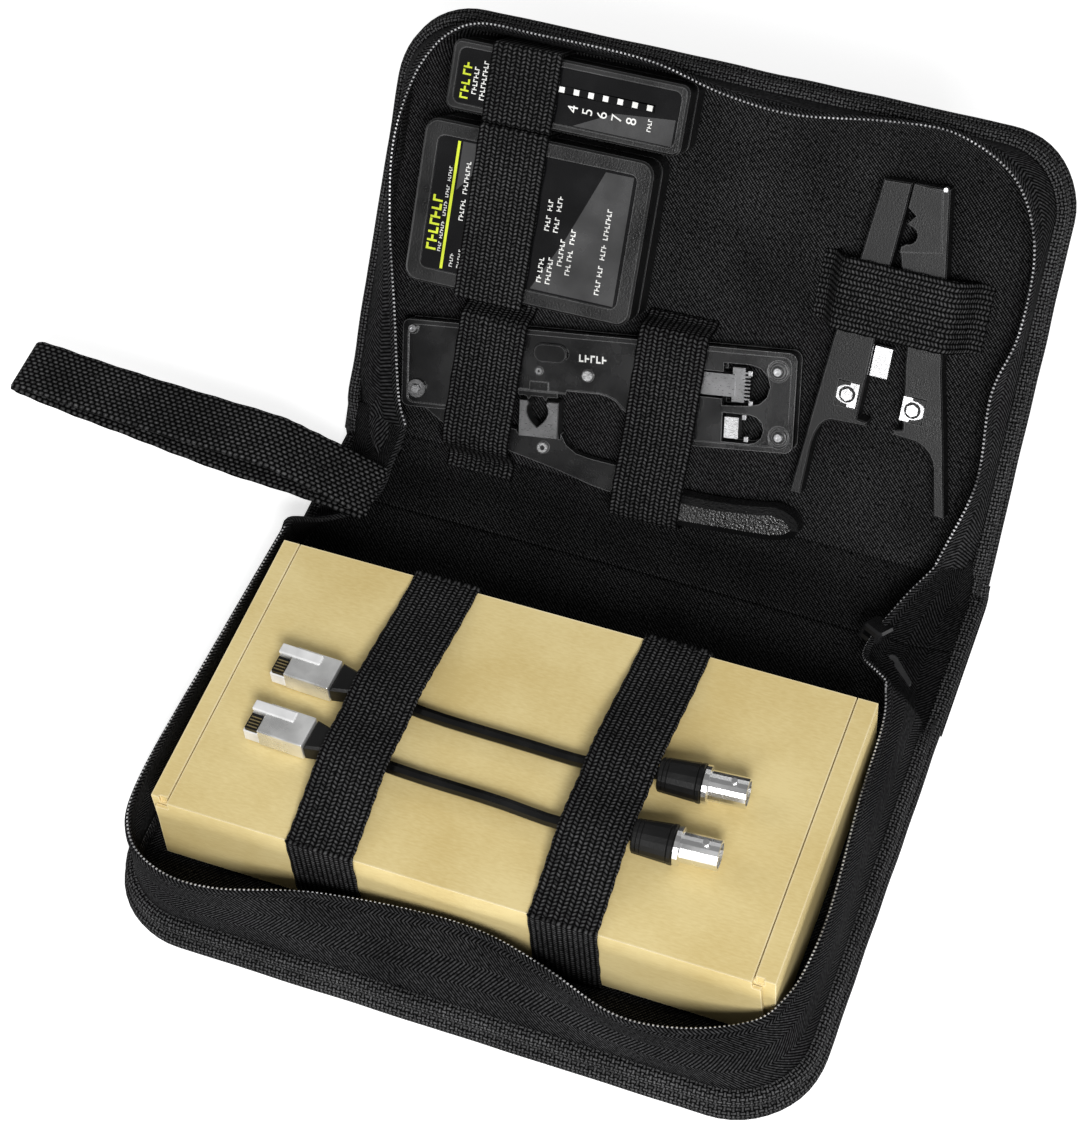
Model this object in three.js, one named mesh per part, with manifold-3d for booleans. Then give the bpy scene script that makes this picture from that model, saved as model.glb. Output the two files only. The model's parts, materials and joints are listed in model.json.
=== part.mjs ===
// Network tool case, open, with its tools. Millimetres, +Z up, +X along the hinge, +Y towards the lid.
// The origin is the centre of the base's underside. The lid's contents are drawn in the lid's own
// coordinates: x along the hinge, y up the lid, z out of the lid towards the viewer.
import * as THREE from 'three';
import { mergeVertices } from 'three/addons/utils/BufferGeometryUtils.js';
import Module from 'manifold-3d';

const wasm = await Module();
wasm.setup();

// ---- driving dimensions ----
const CASE_WIDTH = 240;
const BASE_DEPTH = 160;
const SPINE_DEPTH = 53.5;
const LID_LENGTH = 159.5;
const LID_LEAN = THREE.MathUtils.degToRad(51.44);
const BASE_CORNER = 30;
const LID_CORNER = 27;
const PANEL = 5;               // outer fabric, board and lining together
const FABRIC = 1.4;
const BOARD_TOP = 3.9;
const LINING = 0.8;
const WALL_HEIGHT = 12;
const LID_WALL_HEIGHT = 11;
const BASE_ZIP_HEIGHT = 28;
const LID_ZIP_HEIGHT = 22;
const TAPE = 1.2;
const COIL_RADIUS = 1.3;
const GAP = 0.3;

const HALF = CASE_WIDTH / 2;
const BASE_BACK = BASE_DEPTH / 2;
const HINGE_Y = BASE_BACK + SPINE_DEPTH;

const BOX = { left: -107.3, right: 102.3, front: -50.3, back: 57.8, bottom: 6.1, top: 39.75 };
const BOX_SIDE = 6.3;          // width of the folded side walls
const CARD = 1.3;
const ELASTIC = 1.2;
const BASE_ELASTIC_WIDTH = 22.8;
const LID_ELASTIC_WIDTH = 25;
const WEBBING = 1.5;
const WEBBING_WIDTH = 22;

const TESTER = { width: 82.5, height: 57, thickness: 21.7, corner: 5, rim: 5.2 };
const REMOTE = { width: 84.3, height: 24, thickness: 20.7, corner: 3, rim: 2.4 };
const CASING = 1.8;
const TOOL_REST = PANEL + 0.8; // height of the tools' backs above the lid's outer face

const CRIMPER_LENGTH = 142.8;
const CRIMPER_TILT = THREE.MathUtils.degToRad(8.4);

// ---- looks ----
const finish = (color, roughness, metalness = 0) =>
  new THREE.MeshStandardMaterial({ color, roughness, metalness });
const NYLON = finish(0x141415, 0.85);
const LINING_CLOTH = finish(0x1c1c1e, 0.9);
const BOARD = finish(0x303034, 0.7);
const ZIP_TAPE = finish(0x121213, 0.8);
const WEB = finish(0x161617, 0.8);
const STEEL = finish(0xd8d8da, 0.25, 1);
const PAINTED = finish(0x3a3b3e, 0.4, 0.6);
const BLACK_PLASTIC = finish(0x222224, 0.55);
const GLOSS_PLASTIC = finish(0x0c0c0e, 0.15);
const CARDBOARD = finish(0xd8c48a, 0.9);
const CLEAR_PLASTIC = finish(0xe4e4e2, 0.3);
const BOARD_GREEN = finish(0x1f5a38, 0.5);
const LIGHTS = finish(0xf4f4ee, 0.4);

// ---- solids, booleans and placing ----
const toSolid = (geometry) => {
  const bare = geometry.clone();
  bare.deleteAttribute('normal');
  bare.deleteAttribute('uv');
  const merged = mergeVertices(bare, 1e-4);
  return new wasm.Manifold(new wasm.Mesh({
    numProp: 3,
    vertProperties: new Float32Array(merged.attributes.position.array),
    triVerts: new Uint32Array(merged.index.array),
  }));
};

const toGeometry = (solid) => {
  const mesh = solid.getMesh();
  const geometry = new THREE.BufferGeometry();
  geometry.setAttribute('position', new THREE.BufferAttribute(mesh.vertProperties, 3));
  geometry.setIndex(new THREE.BufferAttribute(mesh.triVerts, 1));
  geometry.computeVertexNormals();
  return geometry;
};

const join = (first, ...others) =>
  toGeometry(others.reduce((whole, g) => whole.add(toSolid(g)), toSolid(first)));
const cut = (first, ...others) =>
  toGeometry(others.reduce((whole, g) => whole.subtract(toSolid(g)), toSolid(first)));

const addPiece = (parent, name, geometry, material, place = [0, 0, 0], turn = [0, 0, 0]) => {
  const mesh = new THREE.Mesh(geometry, material);
  mesh.name = name;
  mesh.position.set(...place);
  mesh.rotation.set(...turn);
  parent.add(mesh);
  return mesh;
};

// A box given by its lowest and highest corners.
const block = (x0, x1, y0, y1, z0, z1) =>
  new THREE.BoxGeometry(x1 - x0, y1 - y0, z1 - z0)
    .translate((x0 + x1) / 2, (y0 + y1) / 2, (z0 + z1) / 2);

const disc = (x, y, z0, z1, radius, sides = 20) =>
  new THREE.CylinderGeometry(radius, radius, z1 - z0, sides)
    .rotateX(Math.PI / 2).translate(x, y, (z0 + z1) / 2);

// A flat outline pushed up from z0 to z1, with an optional chamfer on both edges.
const slab = (shape, z0, z1, chamfer = 0, curveSegments = 3) =>
  new THREE.ExtrudeGeometry(shape, {
    depth: z1 - z0 - 2 * chamfer,
    bevelEnabled: chamfer > 0,
    bevelThickness: chamfer,
    bevelSize: chamfer,
    bevelOffset: -chamfer,
    bevelSegments: 1,
    curveSegments,
  }).translate(0, 0, z0 + chamfer);

const polygon = (points) => new THREE.Shape(points.map(([x, y]) => new THREE.Vector2(x, y)));

const roundedRect = (x0, x1, y0, y1, radius) => {
  const shape = new THREE.Shape();
  shape.moveTo(x0 + radius, y0);
  shape.lineTo(x1 - radius, y0);
  shape.absarc(x1 - radius, y0 + radius, radius, -Math.PI / 2, 0);
  shape.lineTo(x1, y1 - radius);
  shape.absarc(x1 - radius, y1 - radius, radius, 0, Math.PI / 2);
  shape.lineTo(x0 + radius, y1);
  shape.absarc(x0 + radius, y1 - radius, radius, Math.PI / 2, Math.PI);
  shape.lineTo(x0, y0 + radius);
  shape.absarc(x0 + radius, y0 + radius, radius, Math.PI, Math.PI * 1.5);
  return shape;
};

// A panel with a straight edge at y = near and rounded corners at y = far (on either side of it).
const panelShape = (near, far, corner, inset = 0) => {
  const half = HALF - inset;
  const side = Math.sign(far - near);
  const end = far - side * inset;
  const r = corner - inset;
  const shape = new THREE.Shape();
  shape.moveTo(half, near);
  shape.lineTo(half, end - side * r);
  shape.absarc(half - r, end - side * r, r, 0, side * Math.PI / 2, side < 0);
  shape.lineTo(-half + r, end);
  shape.absarc(-half + r, end - side * r, r, side * Math.PI / 2, side * Math.PI, side < 0);
  shape.lineTo(-half, near);
  return shape;
};

const curveThrough = (points) =>
  new THREE.CatmullRomCurve3(points.map((p) => new THREE.Vector3(...p)), false, 'centripetal');

// A sheet between two rails: a thin box whose vertices are moved onto the rails.
const sheetBetween = (lower, upper, thickness, steps) => {
  const geometry = new THREE.BoxGeometry(1, 1, 1, steps, 1, 1);
  const place = geometry.attributes.position;
  const along = new THREE.Vector3();
  const across = new THREE.Vector3();
  const low = new THREE.Vector3();
  const high = new THREE.Vector3();
  for (let i = 0; i < place.count; i++) {
    const u = place.getX(i) + 0.5;
    lower.getPointAt(u, low);
    upper.getPointAt(u, high);
    across.copy(high).sub(low);
    along.copy(lower.getTangentAt(u)).add(upper.getTangentAt(u));
    const out = along.cross(across).normalize().multiplyScalar(place.getZ(i) * thickness);
    low.lerp(high, place.getY(i) + 0.5).add(out);
    place.setXYZ(i, low.x, low.y, low.z);
  }
  return geometry;
};

const tubeAlong = (curve, radius, steps, sides = 8) => {
  const section = new THREE.Shape();
  section.absarc(0, 0, radius, 0, Math.PI * 2);
  return new THREE.ExtrudeGeometry(section, {
    steps, extrudePath: curve, curveSegments: sides / 2, bevelEnabled: false,
  });
};

// A ribbon of even thickness whose side view follows the points, as wide as x0 to x1, with two
// steps between one point and the next. The side view's first axis becomes Y and its second Z.
const ribbon = (points, thickness, x0, x1) => {
  const path = new THREE.SplineCurve(points.map(([a, b]) => new THREE.Vector2(a, b)));
  const geometry = new THREE.BoxGeometry(1, 1, 1, 2 * (points.length - 1), 1, 1);
  const place = geometry.attributes.position;
  for (let i = 0; i < place.count; i++) {
    const u = place.getX(i) + 0.5;
    const at = path.getPoint(u);
    const way = path.getTangent(u);
    const off = place.getY(i) * thickness;
    place.setXYZ(i, x0 + (x1 - x0) * (0.5 + place.getZ(i)), at.x - way.y * off, at.y + way.x * off);
  }
  return geometry;
};

// Three points around a corner at a distance from it, the middle one at the given angle.
const aroundCorner = (a, b, distance, degrees, turn) => [-45, 0, 45].map((step) => {
  const angle = THREE.MathUtils.degToRad(degrees - turn * step);
  return [a + distance * Math.cos(angle), b + distance * Math.sin(angle)];
});

// ---- the case ----
// Outer fabric with its low wall; the side towards the fold stays open.
const trayShell = (near, far, corner, wallHeight) => {
  const side = Math.sign(far - near);
  const inner = slab(panelShape(near - side * 3, far, corner, FABRIC * 1.6), FABRIC, wallHeight + 1);
  return cut(slab(panelShape(near, far, corner), 0, wallHeight), inner);
};

const flatLayer = (near, far, corner, inset, z0, z1) =>
  slab(panelShape(near, far, corner, inset), z0, z1);

const addLayers = (parent, prefix, near, far, corner) => {
  const inset = FABRIC * 1.6 + GAP;
  addPiece(parent, `${prefix}_board`,
    flatLayer(near, far, corner, inset, FABRIC + GAP, BOARD_TOP), BOARD);
  addPiece(parent, `${prefix}_lining`,
    flatLayer(near, far, corner, inset, PANEL - LINING, PANEL), LINING_CLOTH);
};

// The zip tape leans inwards from the wall to the coil on its free edge.
const zipTape = (wallRail, zipRail, steps) =>
  join(sheetBetween(wallRail, zipRail, TAPE, steps), tubeAlong(zipRail, COIL_RADIUS, steps, 6));

// The wall's top edge from one end to the other, as a rail that the tape starts from.
const wallRail = (near, far, corner, inset, height) => {
  const half = HALF - inset;
  const side = Math.sign(far - near);
  const r = corner - inset;
  const end = far - side * inset;
  const rail = new THREE.CurvePath();
  const v = (x, y) => new THREE.Vector3(x, y, height);
  const arc = (sign) => new THREE.QuadraticBezierCurve3(
    ...(sign < 0
      ? [v(-half, end - side * r), v(-half, end), v(-half + r, end)]
      : [v(half - r, end), v(half, end), v(half, end - side * r)]));
  rail.add(new THREE.LineCurve3(v(-half, near), v(-half, end - side * r)));
  rail.add(arc(-1));
  rail.add(new THREE.LineCurve3(v(-half + r, end), v(half - r, end)));
  rail.add(arc(1));
  rail.add(new THREE.LineCurve3(v(half, end - side * r), v(half, near)));
  return rail;
};

// Free edges of the two zip tapes. The soft tape waves between its stiff corners.
const baseZipRail = () => curveThrough([
  [-113.9, 74], [-116.2, 20], [-118, -38], [-112.5, -59], [-97.9, -68.4], [-78, -68.8],
  [-48, -60.3], [-13.3, -55.9], [10.3, -56.3], [31.7, -61.4], [57.4, -69.3], [79, -66.9],
  [98.5, -57.5], [105.4, -46.5], [108.2, -32.7], [108.8, -10.6], [106, 28], [104.8, 58.4], [101, 74],
].map(([x, y]) => [x, y, BASE_ZIP_HEIGHT]));

const lidZipRail = () => curveThrough([
  [-91.5, 12], [-96.6, 24], [-102.6, 51.7], [-109.6, 85], [-112.2, 115], [-106.6, 141],
  [-92, 155.5], [-65.5, 157], [-27.6, 156.6], [0, 151.8], [24.5, 150.4], [56.6, 154.5],
  [79.9, 155], [100.5, 146], [111.5, 126], [113, 97], [108.9, 74], [110.5, 43], [103.4, 12],
].map(([x, y]) => [x, y, LID_ZIP_HEIGHT]));

const addBaseShell = (base) => {
  addPiece(base, 'base_shell', trayShell(BASE_BACK - GAP, -BASE_BACK, BASE_CORNER, WALL_HEIGHT), NYLON);
  addLayers(base, 'base', BASE_BACK - GAP, -BASE_BACK, BASE_CORNER);
  const rail = wallRail(BASE_BACK - 6, -BASE_BACK, BASE_CORNER, 1.5, WALL_HEIGHT + 1.2);
  addPiece(base, 'base_zip_tape', zipTape(rail, baseZipRail(), 54), ZIP_TAPE);
};

const addSpine = (root) => {
  const near = BASE_BACK + GAP;
  const far = HINGE_Y - GAP;
  addPiece(root, 'spine_shell', block(-HALF, HALF, near, far, 0, FABRIC), NYLON);
  addPiece(root, 'spine_board',
    block(-HALF + 3, HALF - 3, near, far, FABRIC + GAP, BOARD_TOP), BOARD);
  addPiece(root, 'spine_lining',
    block(-HALF + 3, HALF - 3, near, far, PANEL - LINING, PANEL), LINING_CLOTH);
};

const addLidShell = (lid) => {
  addPiece(lid, 'lid_shell', trayShell(GAP, LID_LENGTH, LID_CORNER, LID_WALL_HEIGHT), NYLON);
  addLayers(lid, 'lid', GAP, LID_LENGTH, LID_CORNER);
  const rail = wallRail(12, LID_LENGTH, LID_CORNER, 1.5, LID_WALL_HEIGHT + 1.2);
  addPiece(lid, 'lid_zip_tape', zipTape(rail, lidZipRail(), 54), ZIP_TAPE);
};

// Fabric at the ends of the spine, folded between the ends of the two zip tapes.
const addGussets = (root) => {
  const edge = HALF - 3;
  const leftEdge = curveThrough([[-edge, 75.5, 12.5], [-edge, 103, 6.6], [-edge, 124, 12]]);
  const leftTop = curveThrough([[-113.6, 76, 27], [-100, 88, 14.4], [-95, 101, 12.6], [-95, 112, 13.6],
    [-96, 119.5, 24]]);
  const rightEdge = curveThrough([[edge, 75.5, 12.5], [edge, 103, 6.6], [edge, 124, 12]]);
  const rightTop = curveThrough([[100, 76, 26.5], [96.5, 98, 18], [101, 119, 23]]);
  addPiece(root, 'gusset_left', sheetBetween(leftEdge, leftTop, TAPE, 10), NYLON);
  addPiece(root, 'gusset_right', sheetBetween(rightEdge, rightTop, TAPE, 10), NYLON);
};

const addZipSlider = (root) => {
  const body = slab(roundedRect(-4, 4, -5.5, 5.5, 2), 0, 6, 0.8, 3);
  const throat = block(-2.2, 2.2, -7, 7, 2.2, 3.8);
  addPiece(root, 'zip_slider', cut(body, throat), PAINTED, [89, 98, 15.2], [-0.5, 0.3, -0.3]);
  const pull = slab(roundedRect(-3, 3, -13, 0, 2), 0, 1.6, 0.4, 3);
  const eye = disc(0, -3, -1, 3, 1.3, 10);
  addPiece(root, 'zip_pull', cut(pull, eye), PAINTED, [95.5, 92.6, 14.6], [0.42, 0.1, 0.8]);
};

// Wrist loop: one length of webbing folded at its tip. Its two ends are sewn into the left gusset.
const STRAP_BREAK = -123;
const addHandStrap = (root) => {
  const half = WEBBING_WIDTH / 2;
  const strapBand = (points) => ribbon(points, WEBBING, -half, half).rotateZ(Math.PI / 2);
  const loop = [
    [STRAP_BREAK, 29.2], [-133.4, 32.3], [-155, 33.6], [-180.4, 35], [-205, 37.2], [-224, 39.4],
    [-228.6, 38.2], [-224, 36], [-205, 31.8], [-185, 28.4], [-165, 24.6], [-144.5, 21.4],
    [STRAP_BREAK, 19.8],
  ];
  const rootBand = [
    [STRAP_BREAK + 0.8, 28.6], [-112, 25.2], [-101, 20.6], [-93.5, 17.4], [-92.6, 15.6],
    [-96, 15.6], [-107, 17.4], [STRAP_BREAK + 0.8, 19.4],
  ];
  const flip = (points) => points.map(([x, z]) => [-x, z]);
  addPiece(root, 'hand_strap', strapBand(flip(loop)), WEB, [0, 101, 0]);
  addPiece(root, 'hand_strap_root', strapBand(flip(rootBand)), WEB, [0, 101, 0]);
};

// ---- card box and the straps over it ----
const addBox = (base) => {
  const { left, right, front, back, bottom, top } = BOX;
  const grooveLeft = left + BOX_SIDE;
  const grooveRight = right - BOX_SIDE - 1;
  const outer = block(left, right, front + CARD + GAP, back, bottom, top);
  const hollow = block(grooveLeft + CARD, grooveRight - CARD,
    front + 2 * CARD + GAP, back - CARD, bottom + CARD, top + 1);
  const lidSeat = block(grooveLeft - 0.6, grooveRight + 0.6, front - 1, back + 1, top - CARD - GAP, top + 1);
  // The side walls are folded double around a space, and their front corners are notched.
  const folds = [[left + CARD, grooveLeft - CARD - 0.4], [grooveRight + CARD + 0.4, right - CARD]]
    .map(([a, b]) => block(a, b, front + 2 * CARD + GAP, back - CARD, bottom - 1, top - CARD));
  const notches = [[grooveLeft - 3.6, grooveLeft - 0.8], [grooveRight + 0.8, grooveRight + 3.6]]
    .map(([a, b]) => block(a, b, front - 1, front + 2.4, top - 3.4, top + 1));
  addPiece(base, 'box_tray', cut(outer, hollow, lidSeat, ...folds, ...notches), CARDBOARD);
  const x0 = grooveLeft - 0.1;
  const x1 = grooveRight + 0.1;
  const flap = slab(polygon([[left + 0.6, bottom + 1], [right - 3, bottom + 1], [right - 4.4, top - 3.8],
    [x1, top - 3.8], [x1, top - 0.6], [x0, top - 0.6], [x0, top - 3.8], [left + 1.6, top - 3.8]]), 0, CARD)
    .rotateX(Math.PI / 2).translate(0, front + CARD, 0);
  const lid = join(block(x0, x1, front, back, top - CARD, top), flap);
  addPiece(base, 'box_lid', lid, CARDBOARD);
};

const addBoxElastic = (base, name, x, hump) => {
  const { front, back, bottom, top } = BOX;
  const off = ELASTIC / 2 + GAP;
  const half = BASE_ELASTIC_WIDTH / 2;
  const over = top + off;
  const crown = over + hump;
  // It runs straight from the box's edges up to the two leads, which lie between y = -22 and y = 12.
  const side = [
    [front - off, bottom], [front - off, 22], ...aroundCorner(front, top, off, 135, 1),
    [-43, over + 0.2 * hump], [-33, over + 0.55 * hump], [-24.5, crown - 1.2], [-19, crown], [-12, crown],
    [-4, crown - 0.8], [3.4, crown], [9.5, crown], [16, crown - 1.2], [28, over + 0.6 * hump],
    [42, over + 0.26 * hump], ...aroundCorner(back, top, off, 45, 1), [back + off, 22], [back + off, bottom],
  ];
  addPiece(base, name, ribbon(side, ELASTIC, -half, half), WEB, [x, 0, 0]);
};

// ---- adapter leads ----
const LEADS = [
  { name: 'back', plugX: -87.6, plugY: 8.6, bendY: 5.4, jackX: 46.2, jackY: 6.2, boot: 14.4, turn: 0.07 },
  { name: 'front', plugX: -86.9, plugY: -14.4, bendY: -17.2, jackX: 46, jackY: -17.4, boot: 13.4,
    turn: 0.06 },
];
const PLUG = { length: 21.8, width: 11.7, height: 8 };
const BOOT_LENGTH = 9;
const CABLE_RADIUS = 2.2;
const PLUG_AXIS = BOX.top + GAP + PLUG.height / 2;
const JACK_AXIS = BOX.top + GAP + 7;

const addPlug = (base, lead) => {
  const { length, width, height } = PLUG;
  const outline = roundedRect(0, length, -width / 2, width / 2, 0.6);
  const body = slab(outline, -height / 2, height / 2, 0.4, 2);
  const slots = [];
  for (let i = 0; i < 4; i++) {
    slots.push(block(-1, 6.5, -3.9 + i * 2.1, -2.9 + i * 2.1, height / 2 - 1.2, height / 2 + 1));
  }
  const latch = polygon([
    [2, 0], [3.4, 1.6], [length - 7, 2.6], [length - 7, 1.7], [4, 0.4], [3.4, -0.4],
  ]);
  const tongue = slab(latch, -3, 3).rotateX(Math.PI / 2).translate(0, 0, height / 2);
  addPiece(base, `plug_${lead.name}`, join(cut(body, ...slots), tongue), CLEAR_PLASTIC,
    [lead.plugX, lead.plugY, PLUG_AXIS], [0, 0, -0.04]);
  const boot = polygon([
    [0, -width / 2 + 0.2], [BOOT_LENGTH, -3.6], [BOOT_LENGTH, 3.6], [0, width / 2 - 0.2],
  ]);
  addPiece(base, `plug_boot_${lead.name}`, slab(boot, -height / 2 + 0.2, height / 2 - 0.4, 0.8),
    BLACK_PLASTIC, [lead.plugX + length + GAP, lead.plugY - 0.9, PLUG_AXIS], [0, 0, -0.04]);
};

const addCable = (base, lead) => {
  const start = lead.plugX + PLUG.length + BOOT_LENGTH + 2 * GAP;
  const low = BOX.top + GAP + CABLE_RADIUS + 0.3;
  const route = curveThrough([
    [start, lead.plugY - 1.3, PLUG_AXIS], [start + 7, lead.plugY - 1.6, PLUG_AXIS - 0.4],
    [start + 24, lead.bendY + 0.6, low], [0, lead.bendY, low], [22, lead.jackY - 1.2, low + 0.4],
    [36, lead.jackY - 0.8, JACK_AXIS - 2], [lead.jackX - 4, lead.jackY, JACK_AXIS - 0.2],
    [lead.jackX - 1.3 * GAP, lead.jackY, JACK_AXIS],
  ]);
  addPiece(base, `cable_${lead.name}`, tubeAlong(route, CABLE_RADIUS, 14), BLACK_PLASTIC);
};

const lathe = (profile, sides = 20) =>
  new THREE.LatheGeometry(profile.map(([r, z]) => new THREE.Vector2(r, z)), sides);

const addJack = (base, lead) => {
  // Both pieces are turned about Y, then laid along the lead.
  const end = lead.boot;
  const boot = lathe([[0, 0], [5.1, 0], [5.6, 0.5], [5.7, 1.4], [5.5, 1.6], [5.7, 1.8], [5.8, 2.8], [5.6, 3],
    [5.8, 3.2], [6.4, end - 2], [6.2, end - 1.8], [6.5, end - 1.5], [6.6, end - 0.4], [6.2, end], [0, end]]);
  const barrel = lathe([[0, 0], [6.3, 0], [6.3, 1.6], [5, 2], [5, 14], [4.1, 14], [4.1, 6.5],
    [2.4, 6.5], [2.4, 12.5], [0.8, 12.5], [0.8, 6], [0, 6]]);
  const lug = new THREE.CylinderGeometry(1, 1, 12.4, 10).rotateX(Math.PI / 2).translate(0, 9.5, 0);
  const bore = new THREE.CylinderGeometry(4.1, 4.1, 5, 20).translate(0, 9.5, 0);
  const lugs = cut(lug, bore);
  const lay = (g) => g.rotateZ(-Math.PI / 2);
  addPiece(base, `bnc_boot_${lead.name}`, lay(boot), BLACK_PLASTIC,
    [lead.jackX, lead.jackY, JACK_AXIS], [0, 0, lead.turn]);
  const reach = end + GAP;
  addPiece(base, `bnc_jack_${lead.name}`, lay(join(barrel, lugs)), STEEL,
    [lead.jackX + reach * Math.cos(lead.turn), lead.jackY + reach * Math.sin(lead.turn), JACK_AXIS],
    [0, 0, lead.turn]);
};

// ---- tester and remote unit: both are two trays face to face around a board ----
const casingShape = ({ width, height, corner }, inset = 0) =>
  roundedRect(inset, width - inset, inset, height - inset, corner - inset);

const backShell = (size, z1) =>
  cut(slab(casingShape(size), 0, z1, 0.8), slab(casingShape(size, CASING), CASING, z1 + 1));

// The front has a shallow recess inside its rim, and the label lies in that recess.
const RECESS = 0.8;
const recessShape = ({ width, height, rim }, inset = 0) =>
  roundedRect(rim + inset, width - rim - inset, rim + inset, height - rim - inset, 2.6 - inset);

const frontShell = (size, z0) => {
  const z1 = size.thickness;
  return cut(slab(casingShape(size), z0, z1, 0.8),
    slab(casingShape(size, CASING), z0 - 1, z1 - CASING - RECESS),
    slab(recessShape(size), z1 - RECESS, z1 + 1));
};

const labelPanel = (size) =>
  slab(recessShape(size, GAP), size.thickness - RECESS + GAP, size.thickness - 0.1);

const addTester = (lid) => {
  const tester = new THREE.Group();
  tester.position.set(-99, 66.1, TOOL_REST);
  tester.rotation.z = 0.0175;
  lid.add(tester);
  const split = TESTER.thickness / 2;
  const { height } = TESTER;
  const jackHole = block(-1, CASING + 1, height / 2 - 7, height / 2 + 7, 4, split + 5);
  const switchSlot = block(10.6, 19.6, -1, CASING + 1, split - 3.2, split + 3.2);
  addPiece(tester, 'tester_back_shell',
    cut(backShell(TESTER, split - GAP / 2), jackHole, switchSlot), BLACK_PLASTIC);
  addPiece(tester, 'tester_front_shell',
    cut(frontShell(TESTER, split + GAP / 2), jackHole, switchSlot), BLACK_PLASTIC);
  addPiece(tester, 'tester_label', labelPanel(TESTER), GLOSS_PLASTIC);
  addPiece(tester, 'tester_circuit_board', block(23, 51, 3, height - 3, 4.2, 5.8), BOARD_GREEN);
  addPiece(tester, 'tester_battery', slab(roundedRect(52.5, 79, 4, 52.5, 2), 2.2, 18.6, 0.5), PAINTED);
  const jack = block(0.4, 17, height / 2 - 6.6, height / 2 + 6.6, 4.4, split + 4.6);
  const socket = block(-1, 13, height / 2 - 5.3, height / 2 + 5.3, 5.8, split + 3.2);
  addPiece(tester, 'tester_jack', cut(jack, socket), GLOSS_PLASTIC);
  const knob = join(block(11.4, 15.4, -1.8, 2.4, split - 2.2, split + 2.2),
    block(11, 15.8, 2.2, 3.6, split - 4.4, split + 4.4));
  addPiece(tester, 'tester_switch', knob, BLACK_PLASTIC);
};

const LIGHT_COUNT = 9;
const LIGHT_PITCH = 5.2;
const addRemote = (lid) => {
  const remote = new THREE.Group();
  remote.position.set(-94.6, 127, TOOL_REST);
  remote.rotation.z = 0.012;
  lid.add(remote);
  const split = REMOTE.thickness / 2;
  const { thickness } = REMOTE;
  const [x0, x1, y0, y1] = [28.3, 73.3, 12.8, 15.6];
  const window = block(x0, x1, y0, y1, thickness - 4, thickness + 1);
  addPiece(remote, 'remote_back_shell', backShell(REMOTE, split - GAP / 2), BLACK_PLASTIC);
  addPiece(remote, 'remote_front_shell',
    cut(frontShell(REMOTE, split + GAP / 2), window), BLACK_PLASTIC);
  addPiece(remote, 'remote_label', cut(labelPanel(REMOTE), window), GLOSS_PLASTIC);
  let strip = block(x0 + GAP, x1 - GAP, y0 + GAP, y1 - GAP, thickness - 5, thickness - 0.9);
  for (let i = 0; i < LIGHT_COUNT; i++) {
    const x = x0 + 1.6 + i * LIGHT_PITCH;
    strip = join(strip, block(x - 0.8, x + 0.8, y0 + 0.5, y1 - 0.5, thickness - 1.2, thickness - 0.2));
  }
  addPiece(remote, 'remote_lights', strip, LIGHTS);
};

// ---- crimper: drawn from the top left corner of its plates, y running down as negative ----
const plateShape = () => {
  const shape = new THREE.Shape();
  shape.moveTo(2.5, 0);
  shape.lineTo(CRIMPER_LENGTH - 3, 0.4);
  shape.absarc(CRIMPER_LENGTH - 3, -2.6, 3, Math.PI / 2, 0, true);
  shape.lineTo(CRIMPER_LENGTH, -31.4);
  shape.absarc(CRIMPER_LENGTH - 3, -31.4, 3, 0, -Math.PI / 2, true);
  shape.lineTo(100, -35.2);
  shape.quadraticCurveTo(92, -34.4, 82, -25);
  shape.quadraticCurveTo(78.5, -20.4, 73, -20.3);
  shape.lineTo(61, -20.3);
  shape.lineTo(61, -21.6);
  shape.lineTo(42, -21.6);
  shape.lineTo(16, -31.2);
  shape.lineTo(2.5, -31.2);
  shape.absarc(2.5, -28.7, 2.5, -Math.PI / 2, -Math.PI, true);
  shape.lineTo(0, -2.5);
  shape.absarc(2.5, -2.5, 2.5, Math.PI, Math.PI / 2, true);
  return shape;
};

const largeWindow = () => {
  const shape = polygon([[117, -5], [124, -5]]);
  shape.absarc(126.5, -12.2, 7.2, Math.PI / 2, -Math.PI / 2, true);
  shape.lineTo(117, -20);
  shape.lineTo(117, -17.6);
  shape.lineTo(102.6, -17.6);
  shape.lineTo(102.6, -8.2);
  shape.lineTo(117, -8.2);
  return shape;
};

const smallWindow = () => {
  const shape = polygon([[117.4, -22.4], [124, -22.4]]);
  shape.absarc(127, -27.5, 5.1, Math.PI / 2, -Math.PI / 2, true);
  shape.lineTo(117.4, -32.6);
  return shape;
};

const LEVER = { pivot: [5.6, -24.6], bottom: 2.8, top: 6.4 };

const leverShape = () => {
  const shape = polygon([
    [1.4, -24.6], [2.4, -21.4], [5.6, -20.2], [9, -21.6], [20, -33.4], [42, -36.6], [43.2, -38.6],
    [58.6, -38.6], [58.6, -36.5],
  ]);
  shape.quadraticCurveTo(60.6, -43.4, 70, -44.4);
  shape.quadraticCurveTo(86, -45.6, 101, -53);
  shape.lineTo(136, -57);
  shape.lineTo(136, -61);
  shape.lineTo(101, -60);
  shape.quadraticCurveTo(76, -56.6, 58, -49.6);
  shape.lineTo(16, -38);
  shape.lineTo(3, -28.6);
  return shape;
};

const gripShape = () => {
  const shape = new THREE.Shape();
  shape.moveTo(84, -44.8);
  shape.quadraticCurveTo(98, -50.4, 103, -52.6);
  shape.quadraticCurveTo(120, -55, 138, -53.6);
  shape.quadraticCurveTo(146.8, -55.6, 146.6, -61.4);
  shape.quadraticCurveTo(144, -65.8, 134, -65.2);
  shape.lineTo(103, -63.6);
  shape.quadraticCurveTo(92, -62.4, 80, -57.6);
  return shape;
};

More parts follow.
